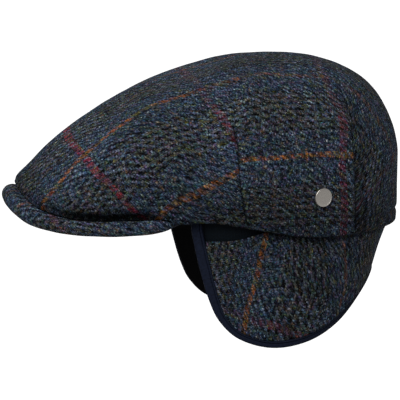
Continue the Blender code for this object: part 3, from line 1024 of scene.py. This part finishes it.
def dart_relief(bearing, level):
    """Cloth beside the darts, in metres: a narrow dip along the seam with a soft ridge on either side."""
    total = 0.0
    for dart, apex, depth, _ in DARTS:
        far = np.abs(fold(bearing) - dart) * MM_PER_DEGREE
        reach = rising(level, 0.15, 0.4) * falling(level, apex, 0.8)
        total = total + reach * (-depth * np.exp(-(far / VALLEY_WIDTH) ** 1.4) + hump(far, *RIDGE))
    return total


def dart_painted_shade(bearing, level):
    """Painted shade along each dart's seam, from 0 to 1 at each corner. A wide line is a faint one."""
    total = 0.0
    for dart, apex, _, line in DARTS:
        far = np.abs(fold(bearing) - dart) * MM_PER_DEGREE
        reach = ease(level / 0.3) * falling(level, apex, 0.8)
        total = total + DART_PAINTED_SHADE / line * reach * hump(far, 0, 1000 * line)
    return total


# %% Crown relief
HEM_HEIGHT = 0.009
# Where the cloth sinks: the middle, the width and the depth, in metres
STITCH_TUCK = (HEM_HEIGHT, 0.0016, 0.0011)
TOP_DIP = (-0.036, 0.030, 0.0022)
BACK_DRAWN_IN = 0.0013
LONG_WAVES = 0.0005
SHORT_WAVES = 0.00012


def front_dip(points, facing):
    """How far the top sinks between the crown's highest point and its front, in metres."""
    return hump(points[..., 1], *TOP_DIP) * facing[..., 2] ** 2


above = smooth[..., 2] - rim_height(bearing_grid)
out = out_of(smooth)
out[:3] = (0.0, 0.0, 1.0)
place = np.tile(columns, (ROWS, 1))
relief = dart_relief(place, level_grid)
tuck = hump(above, *STITCH_TUCK) * (0.3 + 0.7 * rising(fold(place), 120, 40))
relief -= tuck * rising(fold(place), 50, 20)
behind_dart = (fold(place) - REAR_DART) * MM_PER_DEGREE
drawn_in = hump(behind_dart, 5.0, 7.0) * falling(level_grid, 8.0, 2) * ease(behind_dart / 2)
relief -= BACK_DRAWN_IN * drawn_in * ease(level_grid / 1.5)
relief -= front_dip(smooth, out)
relief += LONG_WAVES * waver(smooth, 0.055, 4) * falling(level_grid, TOP_LEVEL, 2) * ease(level_grid / 2)
relief += SHORT_WAVES * waver(smooth, 0.014, 7)
outer = smooth + out * relief[..., None]
print("crown relief: %.1f to %.1f mm" % (relief.min() * 1000, relief.max() * 1000))

# %% [markdown]
# ### Hem and inside
# At the edge the cloth turns under in a soft roll, about as thick as four layers, and goes back up inside.
# The grid goes on round that roll and up the black inside to the top, which makes the crown one closed
# shell.

# %% Crown hem
HEM_STEPS = 10

rim_low = rim_height(rim_bearing)
rim_round = fold(rim_bearing)
inside_edge = np.stack(oval(rim_bearing, HEM_AT + overhang(rim_bearing)), axis=-1)
outside_edge = outer[-1, :, :2]
hem_rows = []
for turn in np.linspace(0, math.pi, HEM_STEPS + 1)[1:]:
    plan = inside_edge + (outside_edge - inside_edge) * (1 + math.cos(turn)) / 2
    height = rim_low + (outer[-1, :, 2] - rim_low) * (1 - math.sin(turn))
    hem_rows.append(np.column_stack([plan, height]))

# %% Crown inside
CROWN_WALL = 0.0022
FIRST_INSIDE = 0.35
INSIDE_ROWS = 26

inner_levels = np.concatenate([[FIRST_INSIDE], np.linspace(0.6, TOP_LEVEL, INSIDE_ROWS)])
inner_bearing = np.tile(rim_bearing, (len(inner_levels), 1))
inner_smooth = crown_smooth(inner_bearing, np.tile(inner_levels[:, None], (1, len(columns))))
inner_above = inner_smooth[..., 2] - rim_height(inner_bearing)
inward = out_of(inner_smooth)
inward[-2:] = (0.0, 0.0, -1.0)
# The wall is as thick as the hem at its edge, and as thin as the cloth higher up and at the back
at_hem = ease(1.5 - inner_above / HEM_HEIGHT) * (1 - rising(fold(inner_bearing), 110, 50))
thick = CROWN_WALL + (HEM_THICK - CROWN_WALL) * at_hem
seam = dart_relief(np.tile(columns, (len(inner_levels), 1)), inner_levels[:, None])
seam = seam - front_dip(inner_smooth, inward)
inner = inner_smooth + inward * (thick - seam)[..., None]
low_edge = np.stack(oval(inner_bearing, HEM_AT + overhang(inner_bearing)), axis=-1)
inner[..., :2] = low_edge + (inner[..., :2] - low_edge) * ease(inner_above / HEM_HEIGHT)[..., None]
inner[..., 2] = np.maximum(inner[..., 2], rim_height(inner_bearing) + inner_above * FIRST_INSIDE)
inner[-1] = (0.0, APEX_BEHIND, CROWN_HEIGHT - CROWN_WALL)
points = np.concatenate([outer, np.array(hem_rows), inner])
points[:, -1] = points[:, 0]

# %% [markdown]
# ### The crown's front on the peak
# Over the peak the crown's cloth rolls under before it is sewn down. That undercut leaves the deep shadow
# that parts crown and peak in the picture. It is a real hollow here, and painted shade darkens the cloth in
# it further.

# %% Crown over the peak
UNDERCUT = 0.0043
LIP_HEIGHT = 0.0044
LIP_SWELL = (0.0082, 0.003, 0.0009)
LIP_PRESS = 0.30

above_rim = points[..., 2] - rim_low
in_front = falling(rim_round, 58, 10) * (0.2 + 0.8 * rising(rim_round, 8, 30))
low_share = in_front * falling(above_rim, LIP_HEIGHT + 0.0012, 0.0034)
swell = in_front * hump(above_rim, *LIP_SWELL)
points[..., :2] += unit(out[-1, :, :2]) * (swell - UNDERCUT * low_share)[..., None]
pressed = np.clip(1 - above_rim / LIP_HEIGHT, 0.0, 1.0)
points[..., 2] -= LIP_PRESS * peak_half(rim_bearing) * in_front * pressed

# %% Crown piece
INSIDE_TURN_UP = 3


def carry_on(flat, points, rows):
    """Flat places for rows below the last unrolled one, straight on by the distance along the cloth."""
    start = flat[-1][:, [3, 2]]
    heading = unit(flat[-1][:, 3] - flat[-4][:, 0])
    far = run_along(points[-rows - 1:]).mean(axis=1)
    more = np.zeros((rows, flat.shape[1], 4, 2))
    for row in range(rows):
        for corner, (side, down) in enumerate(((0, 0), (1, 0), (1, 1), (0, 1))):
            more[row, :, corner] = start[:, side] + heading * far[row + down]
    return np.concatenate([flat, more])


cloth = carry_on(crown_flat, points, points.shape[0] - ROWS)
crown = cloth_grid("crown_cloth", points, cloth, crown_tweed, lining_black)
inside = np.zeros((points.shape[0] - 1, len(columns) - 1), int)
inside[ROWS - 1 + HEM_STEPS + INSIDE_TURN_UP:] = 1
crown.data.polygons.foreach_set("material_index", inside.reshape(-1))

# %% [markdown]
# ### What the crown's corners carry
# Four numbers tell the tweed how to look. One is painted shade and painted light: it darkens seams, the
# undercut and the cloth low down, and makes the front a little paler. `accent_spread` widens the red and
# orange lines: they are narrow at the sides and where the cloth was pulled long at the temples, and wide on
# top and behind. `check_faded` weakens both lines, behind the ears and on top, and `red_faded` the red one
# alone, at the sides and on top.

# %% Crown's painted shade and light, and its lines' width and fading
# Painted shade: dark in the darts' seams and behind the rear dart, in the undercut and on the lip above it,
# and towards the bottom. Painted light makes the front paler.
depth = np.zeros(points.shape[:2])
depth[:ROWS] = dart_painted_shade(place, level_grid) + 0.30 * drawn_in
depth = depth + 0.35 * low_share + 0.35 * in_front * falling(above_rim, 0.015, 0.011)
depth = depth + 0.40 * falling(above_rim, 0.042, 0.042)
depth = np.clip(depth, 0, 1) - 0.20 * falling(rim_round, 44, 24)
mark(crown, "painted_shade_and_light", depth)

thin = falling(above_rim, 0.045, 0.045) * falling(rim_round, 98, 14) * rising(rim_round, 30, 20)
loose = rising(above_rim, 0.055, 0.020)
side_panel = rising(rim_round, 82, 4)
rear = rising(rim_round, 112, 8)
mark(crown, "accent_spread", 0.30 + 0.10 * loose - 0.25 * thin - 0.30 * side_panel + 0.50 * rear)

behind_ears = rising(rim_round, REAR_DART, 3)
on_top = rising(above_rim, 0.076, 0.012)
mark(crown, "check_faded", np.maximum(0.66 * behind_ears, 0.45 * on_top))
worn_round = np.maximum(rising(rim_round, 50, 20), rising(above_rim, 0.060, 0.015))
mark(crown, "red_faded", 0.45 * worn_round - 0.18 * rear)

close_up(crown)
finish_piece(crown, "tweed", "crown")

# %% [markdown]
# ## Peak
# The peak is a stiff board in two layers of the same tweed, padded at its edge into a round roll. The
# crown's front edge lies on it. Its section is worked out at each bearing from temple to temple; at the
# temples it thins out to nothing, which closes the piece.

# %% Peak's section
PEAK_LIP = 0.0053
NOSE_LIP = 0.0019
PEAK_BOARD = 0.004
FOREHEAD_RISE = 0.018
FLAT_STEPS = 18
ROLL_STEPS = 36
ROLL_CREST = 8
ROLL_FROM, ROLL_TO = 143, -90
SEAT_BACK = 0.0082
SEAT_SINK = 0.4
BOARD_SHORT = 1.8


def brow_height(bearing):
    """Height of the head opening's edge, which rises from the temples over the forehead."""
    rise = np.cos(np.minimum(1.0, fold(bearing) / PEAK_TEMPLE) * math.pi / 2) ** 2
    return edge_height(PEAK_TEMPLE) + FOREHEAD_RISE * rise


def peak_section(half, width, brow, edge, seat_low):
    """Steps round the section, as (distance out from the head, height): top, round edge, underside."""
    board = np.minimum(half, PEAK_BOARD / 2)
    board_end = width - BOARD_SHORT * half
    rise_end = np.maximum(board_end - HEM_THICK - SEAT_BACK, width * 0.3)
    top, bottom = [], []
    for part in np.linspace(0, 1, FLAT_STEPS, endpoint=False):
        along = board_end * part
        down = ease(along / np.maximum(rise_end, 1e-6))
        top.append((along, brow + board + (seat_low - brow - board) * down))
        bottom.append(((width - half) * part, brow - board + (edge - half - brow + board) * part))
    roll = [(width - half + half * math.cos(turn), edge + half * math.sin(turn))
            for turn in np.radians(np.linspace(ROLL_FROM, ROLL_TO, ROLL_STEPS))]
    return top + roll + bottom[::-1] + [top[0]]


# %% Peak piece
FINE_ENDS = 6
PEAK_COLUMNS = 280
PEAK_CLOTH = (0.025, 0.021)
PEAK_WAVES = 0.00022


def peak_rows():
    """Points and flat places of the peak: a row for each step of its section, a column for each bearing."""
    left_end = np.linspace(PEAK_TEMPLE - 1, PEAK_TEMPLE, FINE_ENDS)
    reach = PEAK_TEMPLE - 1.2
    bearing = np.concatenate([-left_end[::-1], np.linspace(-reach, reach, PEAK_COLUMNS), left_end])
    half = peak_half(bearing)
    lip = (PEAK_LIP + NOSE_LIP * nose(bearing)) * np.minimum(1.0, half / (PEAK_THICK / 2))
    in_x, in_y = oval(bearing, LINING_AT)
    edge_x, edge_y = oval(bearing, HEM_OUT + overhang(bearing) + lip)
    width = np.hypot(edge_x - in_x, edge_y - in_y)
    way_x, way_y = (edge_x - in_x) / width, (edge_y - in_y) / width
    edge = edge_height(bearing)
    seat_low = edge + half * (1 - SEAT_SINK * falling(fold(bearing), PEAK_TEMPLE, 8))
    section = peak_section(half, width, brow_height(bearing), edge, seat_low)
    points = np.stack([np.stack([in_x + way_x * along, in_y + way_y * along, height], axis=-1)
                       for along, height in section])
    run = run_along(points)
    run = run - run[FLAT_STEPS + ROLL_CREST] + width - half
    flat_x, flat_y = in_x + way_x * run, in_y + way_y * run
    return points, np.stack([PEAK_CLOTH[0] - flat_y, PEAK_CLOTH[1] + flat_x], axis=-1)


points, flat_places = peak_rows()
to_temple = np.abs(np.linspace(-PEAK_TEMPLE, PEAK_TEMPLE, points.shape[1]))
waves = PEAK_WAVES * waver(points, 0.022, 21) * falling(to_temple, PEAK_TEMPLE, 8)
points = points - out_of(points) * waves[..., None]
points[-1] = points[0]
peak = cloth_grid("peak_cloth", points, per_square(flat_places), crown_tweed)
# The lines show only half as strongly on the peak
mark(peak, "check_faded", np.full(points.shape[:2], 0.5))
close_up(peak, 2e-6)
finish_piece(peak, "tweed", "peak")

# %% [markdown]
# ## Ear flap
# One curved piece goes from temple to temple round the nape and hangs from inside the hem. Its lower edge
# is drawn by a table of how far it hangs, the solids' own. Below the hem the whole flap leans in towards
# the neck.

# %% Flap form
EAR_DROP = 0.0788
SIDE_LEAN = 0.06
NAPE_LEAN = 0.40
NAPE_NIP = 0.0021
HANG_BEARING = (64.2, 67.6, 71.3, 75.6, 83.3, 96, 111, 127, 145, 162, 180)
HANG_DROP = (-0.06, 0.29, 0.58, 0.77, 0.92, 1.00, 0.965, 0.845, 0.66, 0.53, 0.49)
LAST_HANG = len(HANG_BEARING) - 1
EDGE_STEP = 0.05


def hang_point(bearing, height, offset):
    """Points in a hanging layer, which leans in towards the head and neck below the hem."""
    back = rising(fold(bearing), 100, 80)
    lean = SIDE_LEAN + (NAPE_LEAN - SIDE_LEAN) * back
    below = np.maximum(0.0, -height)
    nip = NAPE_NIP * back * (1 - np.exp(-below / 0.004)) * falling(below, 0.045, 0.03)
    x, y = oval(bearing, offset - lean * below - nip)
    return np.stack(np.broadcast_arrays(x, y, height), axis=-1)


def arc_per_degree(bearing):
    """Length round the head for one degree of bearing."""
    turn = np.radians(bearing)
    return np.radians(np.hypot(HEAD_WIDTH / 2 * np.cos(turn), HEAD_LENGTH / 2 * np.sin(turn)))


def hang_edge(place, inset):
    """Bearing and height on the flap's lower edge, moved in by inset."""
    ahead = np.minimum(place + EDGE_STEP, LAST_HANG)
    behind = np.maximum(place - EDGE_STEP, 0)
    bearing = curve_through(HANG_BEARING, place)
    height = -EAR_DROP * curve_through(HANG_DROP, place)
    arc = arc_per_degree(bearing)
    across = (curve_through(HANG_BEARING, ahead) - curve_through(HANG_BEARING, behind)) * arc
    down = -EAR_DROP * (curve_through(HANG_DROP, ahead) - curve_through(HANG_DROP, behind))
    length = np.hypot(across, down)
    return bearing - inset * down / length / arc, height + inset * across / length


# %% Flap layers
BINDING_WIDE = 0.0076
BINDING_NARROW = 0.0050
FLAP_TUCK = 0.014
FLAP_TOP_DIP = 0.004
FRONT_START = 0.55
FAR_FORWARD = 0.5


def binding_width(place):
    """Width of the binding: wide down the front edge, narrow round the bottom."""
    return BINDING_WIDE + (BINDING_NARROW - BINDING_WIDE) * rising(place, 1, 3)


def flap_top(bearing):
    """Upper edge of the flap's cloth: below the hem in front, tucked up inside it further back."""
    return -FLAP_TOP_DIP + (FLAP_TOP_DIP + FLAP_TUCK) * rising(bearing, 76, 40)


def far_side(bearing):
    """Bearings of the right side for those of the left: that lobe hangs a little further forward."""
    return 360 - bearing + FAR_FORWARD * falling(bearing, 110, 40)


def flap_grid(count, rows, inset):
    """Bearing and height of a flap layer's points, from the left temple round the nape to the right."""
    place = np.linspace(FRONT_START, LAST_HANG, count)
    low_bearing, low = hang_edge(place, inset(place))
    share = (place - place[0]) / (place[-1] - place[0])
    top_bearing = low_bearing[0] + (180 - low_bearing[0]) * share ** 1.3
    top = flap_top(top_bearing)
    low = np.minimum(low, top - 0.002)
    drop = np.linspace(0, 1, rows)[:, None]
    height = top + (low - top) * drop
    bearing = top_bearing + (low_bearing - top_bearing) * drop
    return (np.concatenate([bearing, far_side(bearing[:, -2::-1])], axis=1),
            np.concatenate([height, height[:, -2::-1]], axis=1))


# %% [markdown]
# ### The flap's check
# The flap is cut from the same tweed, so it has its own place in the same flat cloth, a little askew, as
# the photo's lines show. Behind the ear its lines fan out, and on the right side they lean the other way.

# %% Flap's place in the cloth
GIRTH_STEPS = np.linspace(0, 360, 721)
half_degrees = arc_per_degree((GIRTH_STEPS[1:] + GIRTH_STEPS[:-1]) / 2) * 0.5
girth_far = np.concatenate([[0], np.cumsum(half_degrees)])
LEFT_EAR, RIGHT_EAR = np.interp((90.0, 270.0), GIRTH_STEPS, girth_far)
FLAP_CLOTH = (0.2215, 0.054)
FLAP_STRETCH = 0.065 / 0.058
FLAP_LINE = 0.0041
FLAP_LEAN = 0.224
FLAP_ASKEW = 0.0225


def flap_places(bearing, height):
    """Flat places of flap points in metres: the check hangs a little askew, as it was cut."""
    girth = np.interp(bearing, GIRTH_STEPS, girth_far)
    fan = np.clip(-0.4 * (height + 0.005), -0.002, 0.015) * rising(girth, LEFT_EAR, 0.060)
    lean = (FLAP_LEAN * height + fan) * (1 - 2 * rising(bearing, 125, 110))
    v = FLAP_CLOTH[1] + FLAP_STRETCH * (girth - LEFT_EAR - FLAP_LINE - lean)
    askew = FLAP_ASKEW * np.tanh((girth - LEFT_EAR) / 0.055) * np.tanh((RIGHT_EAR - girth) / 0.055)
    u = FLAP_CLOTH[0] + height + askew * ease(-height / 0.06)
    return np.stack([u, v], axis=-1)


# %% Flap cloth
SMALL_DART = (103, 0.625)
SMALL_DART_DEEP = 0.0009
FLAP_PUFF = 0.0004
UNDER_TAPE = 0.0001

bearing, height = flap_grid(215, 64, lambda place: binding_width(place) + UNDER_TAPE)
flap_round = fold(bearing)
# A short dart near the lower edge takes up some cloth under the ear
small_dart = hump(flap_round, *SMALL_DART) * falling(height, -0.058, 0.004)
surface = hang_point(bearing, height, FLAP_AT + FLAP_THICK - SMALL_DART_DEEP * small_dart)
puff = FLAP_PUFF * (1 - waver(surface, 0.04, 31)) * ease(-height / 0.012)
surface = surface + out_of(surface) * puff[..., None]
flap = cloth_grid("flap_cloth", surface, per_square(flap_places(bearing, height)), crown_tweed)
# Painted shade in the small dart, towards the front and under the hem; its lines are wider in front and worn
# behind
under_hem = edge_height(bearing) - height
shade = 0.6 * small_dart + 0.20 * falling(flap_round, 135, 35) + 0.65 * falling(under_hem, 0.007, 0.007)
mark(flap, "painted_shade_and_light", shade)
mark(flap, "accent_spread", 0.45 * falling(flap_round, 112, 8))
mark(flap, "check_faded", 0.45 * rising(flap_round, 108, 12))
mark(flap, "red_faded", 0.45 + 0.3 * falling(bearing, 94, 6))
thicken(flap, FLAP_THICK - FLAP_PUFF)
finish_piece(flap, "tweed", "ear_flap")

# %% [markdown]
# ## Flap lining
# The black cloth on the flap's inner side lies against the ear. In the picture only the far flap's shows.
# It hangs from the same line as the tweed and goes almost to the flap's edge inside the folded tape, so it
# is the same sheet again, nearer to the head, thinner and with smaller waves.

# %% Flap lining
LINING_INSET = 0.0004
LINING_WAVES = 0.0002

bearing, height = flap_grid(140, 40, lambda place: LINING_INSET)
surface = hang_point(bearing, height, LINING_AT + LINING_THICK)
surface = surface + out_of(surface) * (LINING_WAVES * waver(surface, 0.02, 41))[..., None]
lining = cloth_grid("flap_lining_cloth", surface, per_square(flap_places(bearing, height)), lining_black)
thicken(lining, LINING_THICK - PLAY)
finish_piece(lining, "black_lining", "flap_lining")

# %% [markdown]
# ## Flap binding
# A folded navy tape binds the flap's edge, and a thin piping runs beside the tweed, where the tape ends. A
# bevelled curve could follow the edge, but its section would keep one shape all the way. Here the section
# is drawn step by step and carried along the edge, so the tape is wide in front and narrow below.

# %% Binding's section
PIPING = 0.0016
GROOVE = 0.0003
TAPE_BASE = LINING_AT + LINING_THICK + 0.00015
TAPE_HIGH = 0.93
TAPE_CROWN = 0.02
GROOVE_HIGH = 0.62
FOLD_DEEP = 0.4


def binding_profile(width):
    """Steps across the tape, as (inset from the edge, share of its thickness): fold, tape, piping, back."""
    fold_deep = (BINDING_OUT - TAPE_BASE) * FOLD_DEEP
    tape_end = width - PIPING - GROOVE
    section = [(fold_deep * (1 - np.cos(turn)), (0.5 + 0.5 * math.sin(turn)) * TAPE_HIGH)
               for turn in np.radians(np.linspace(-90, 90, 11))]
    section += [(fold_deep + (tape_end - fold_deep) * part,
                 TAPE_HIGH + TAPE_CROWN * math.sin(math.pi * part))
                for part in (0.3, 0.6, 0.85, 0.97)]
    section += [(tape_end, 0.80), (tape_end + GROOVE, GROOVE_HIGH)]
    section += [(width - PIPING / 2 + PIPING / 2 * math.cos(turn),
                 GROOVE_HIGH + (1 - GROOVE_HIGH) * math.sin(turn))
                for turn in np.radians(np.linspace(165, 0, 10))]
    return section + [(width, 0.1)] + [(width * part, 0.0) for part in np.linspace(1, 0.12, 6)]


# %% Binding piece
BINDING_COLUMNS = 330
END_TUCK = 0.006
NAPE_THICKER = 0.24
MEASURED_AT = 100

place = np.linspace(0, LAST_HANG, BINDING_COLUMNS)
# At its two front ends the tape is sewn to the band and goes on up inside the hem
at_end = falling(place, 0.55, 0.12)
tucked = END_TUCK * falling(place, 0.16, 0.16)
tape_thick = BINDING_OUT - TAPE_BASE
rows = []
for inset, share in binding_profile(binding_width(place)):
    bearing, height = hang_edge(place, inset)
    height = height + tucked
    stand = TAPE_BASE + tape_thick * share * (1 + NAPE_THICKER * rising(bearing, 145, 20))
    inner_side = np.clip((BINDING_OUT - stand) / tape_thick, 0, 1)
    stand = stand - at_end * inner_side * (TAPE_BASE - BAND_THICK - PLAY)
    rows.append(np.concatenate([hang_point(bearing, height, stand),
                                hang_point(far_side(bearing[-2::-1]), height[-2::-1], stand[-2::-1])]))
surface = np.array(rows)
middle = surface.mean(axis=0, keepdims=True)
surface = np.concatenate([surface, surface[:1]])
# The two ends are closed by drawing them in to their middles
ends = np.repeat(middle[:, [0, -1]], surface.shape[0], axis=0)
surface = np.concatenate([ends[:, :1], surface, ends[:, 1:]], axis=1)
tape = np.stack(np.meshgrid(run_along(surface[0]), run_along(surface[:, MEASURED_AT])), axis=-1)
binding = cloth_grid("flap_binding_tape", surface, per_square(tape), navy)
close_up(binding, 2e-6)
finish_piece(binding, "navy_trim", "flap_binding")

# %% [markdown]
# ## Head band
# Inside the hem a navy band goes round the head and takes up sweat. It shows between the hem and the
# flap's cloth in front of the ear, and its colour is darkened almost to black as painted shade for the hem's
# shadow. It is one closed loop with rounded edges, and its lower edge rises over the forehead with the peak.

# %% Head band
BAND_HEIGHT = 0.024
BAND_SHOWS = 0.010
FLAP_FRONT = 64.2
BAND_ROWS = 16
BAND_EDGE = 0.45

bearing = np.linspace(0, 360, 361)
inner_edge = brow_height(bearing) - PEAK_BOARD / 2
low = inner_edge + (-BAND_SHOWS - inner_edge) * rising(fold(bearing), FLAP_FRONT, 6)
high = np.maximum(edge_height(bearing), brow_height(bearing)) + BAND_HEIGHT
girth = np.interp(bearing, GIRTH_STEPS, girth_far)
shares = np.linspace(0, 1, BAND_ROWS)
rows = []
tape = []
# Up its inner side and down its outer side, thinner at both edges
for side, order in ((-0.5, shares), (0.5, shares[::-1])):
    for share in order:
        height = low + (high - low) * share
        stand = BAND_THICK * (0.5 + side * min(1.0, BAND_EDGE + 6 * min(share, 1 - share)))
        rows.append(hang_point(bearing, height, stand))
        tape.append(np.stack([girth, height - low], axis=-1))
surface = np.array(rows + rows[:1])
surface[:, -1] = surface[:, 0]
band = cloth_grid("head_band_tape", surface, per_square(np.array(tape + tape[:1])), navy_band)
close_up(band)
finish_piece(band, "navy_trim", "head_band")

# %% [markdown]
# ## Badge
# A plain metal disc is pinned flat to the left side above the ear. It has a thin raised rim and a brushed
# face, with nothing on it. Its section is turned round its middle as on a lathe, and then laid on the
# cloth.

# %% Brushed steel


def brushed(name):
    """Steel with fine strokes one way, which show in its colour, its gloss and its relief."""
    n = Nodes(name)
    strokes = n.noise(*n.cloth(6000.0, 260.0), detail=3.0)
    greys = ((0.30, (0.168, 0.157, 0.144, 1)), (0.70, (0.190, 0.179, 0.165, 1)))
    n.shader.inputs["Metallic"].default_value = 1.0
    return n.finish(n.ramp(strokes, greys), n.range(strokes, 0.3, 0.7, 0.34, 0.50), strokes,
                    strength=0.25, depth=0.00003)


steel = brushed("brushed_steel")

# %% Badge
BADGE_WIDTH = 0.0128
BADGE_THICK = 0.0018
BADGE_BEARING = 113.0
BADGE_LEVEL = 2.3
BADGE_STEPS = 97
# Its section, as shares of its radius and thickness: back, edge, raised rim, face
BADGE_SECTION = ((0.0, 0.0), (0.8, 0.0), (0.96, 0.0), (0.99, 0.1), (1.0, 0.3), (1.0, 0.7), (0.985, 0.92),
                 (0.955, 1.0), (0.92, 0.98), (0.895, 0.90), (0.88, 0.87), (0.6, 0.86), (0.3, 0.855),
                 (0.0, 0.85))

far, high = np.array(BADGE_SECTION).T
turn = np.linspace(0, math.tau, BADGE_STEPS)
radius = far * BADGE_WIDTH / 2
spun = np.stack([np.outer(radius, np.cos(turn)), np.outer(radius, np.sin(turn)),
                 np.outer(high * BADGE_THICK, np.ones(BADGE_STEPS))], axis=-1)
spot = crown_smooth(*np.meshgrid(BADGE_BEARING + np.array([-0.5, 0.0, 0.5]),
                                 BADGE_LEVEL + np.array([0.05, 0.0, -0.05])))
straight_out = Vector(out_of(spot)[1, 1])
turned = np.array(straight_out.to_track_quat("Z", "Y").to_matrix())
face_flat = per_square(spun[..., :2])
spun = spun @ turned.T + spot[1, 1] + np.array(straight_out) * PLAY
badge = cloth_grid("badge_disc", spun, face_flat, steel)
close_up(badge)
finish_piece(badge, "metal", "side_badge")
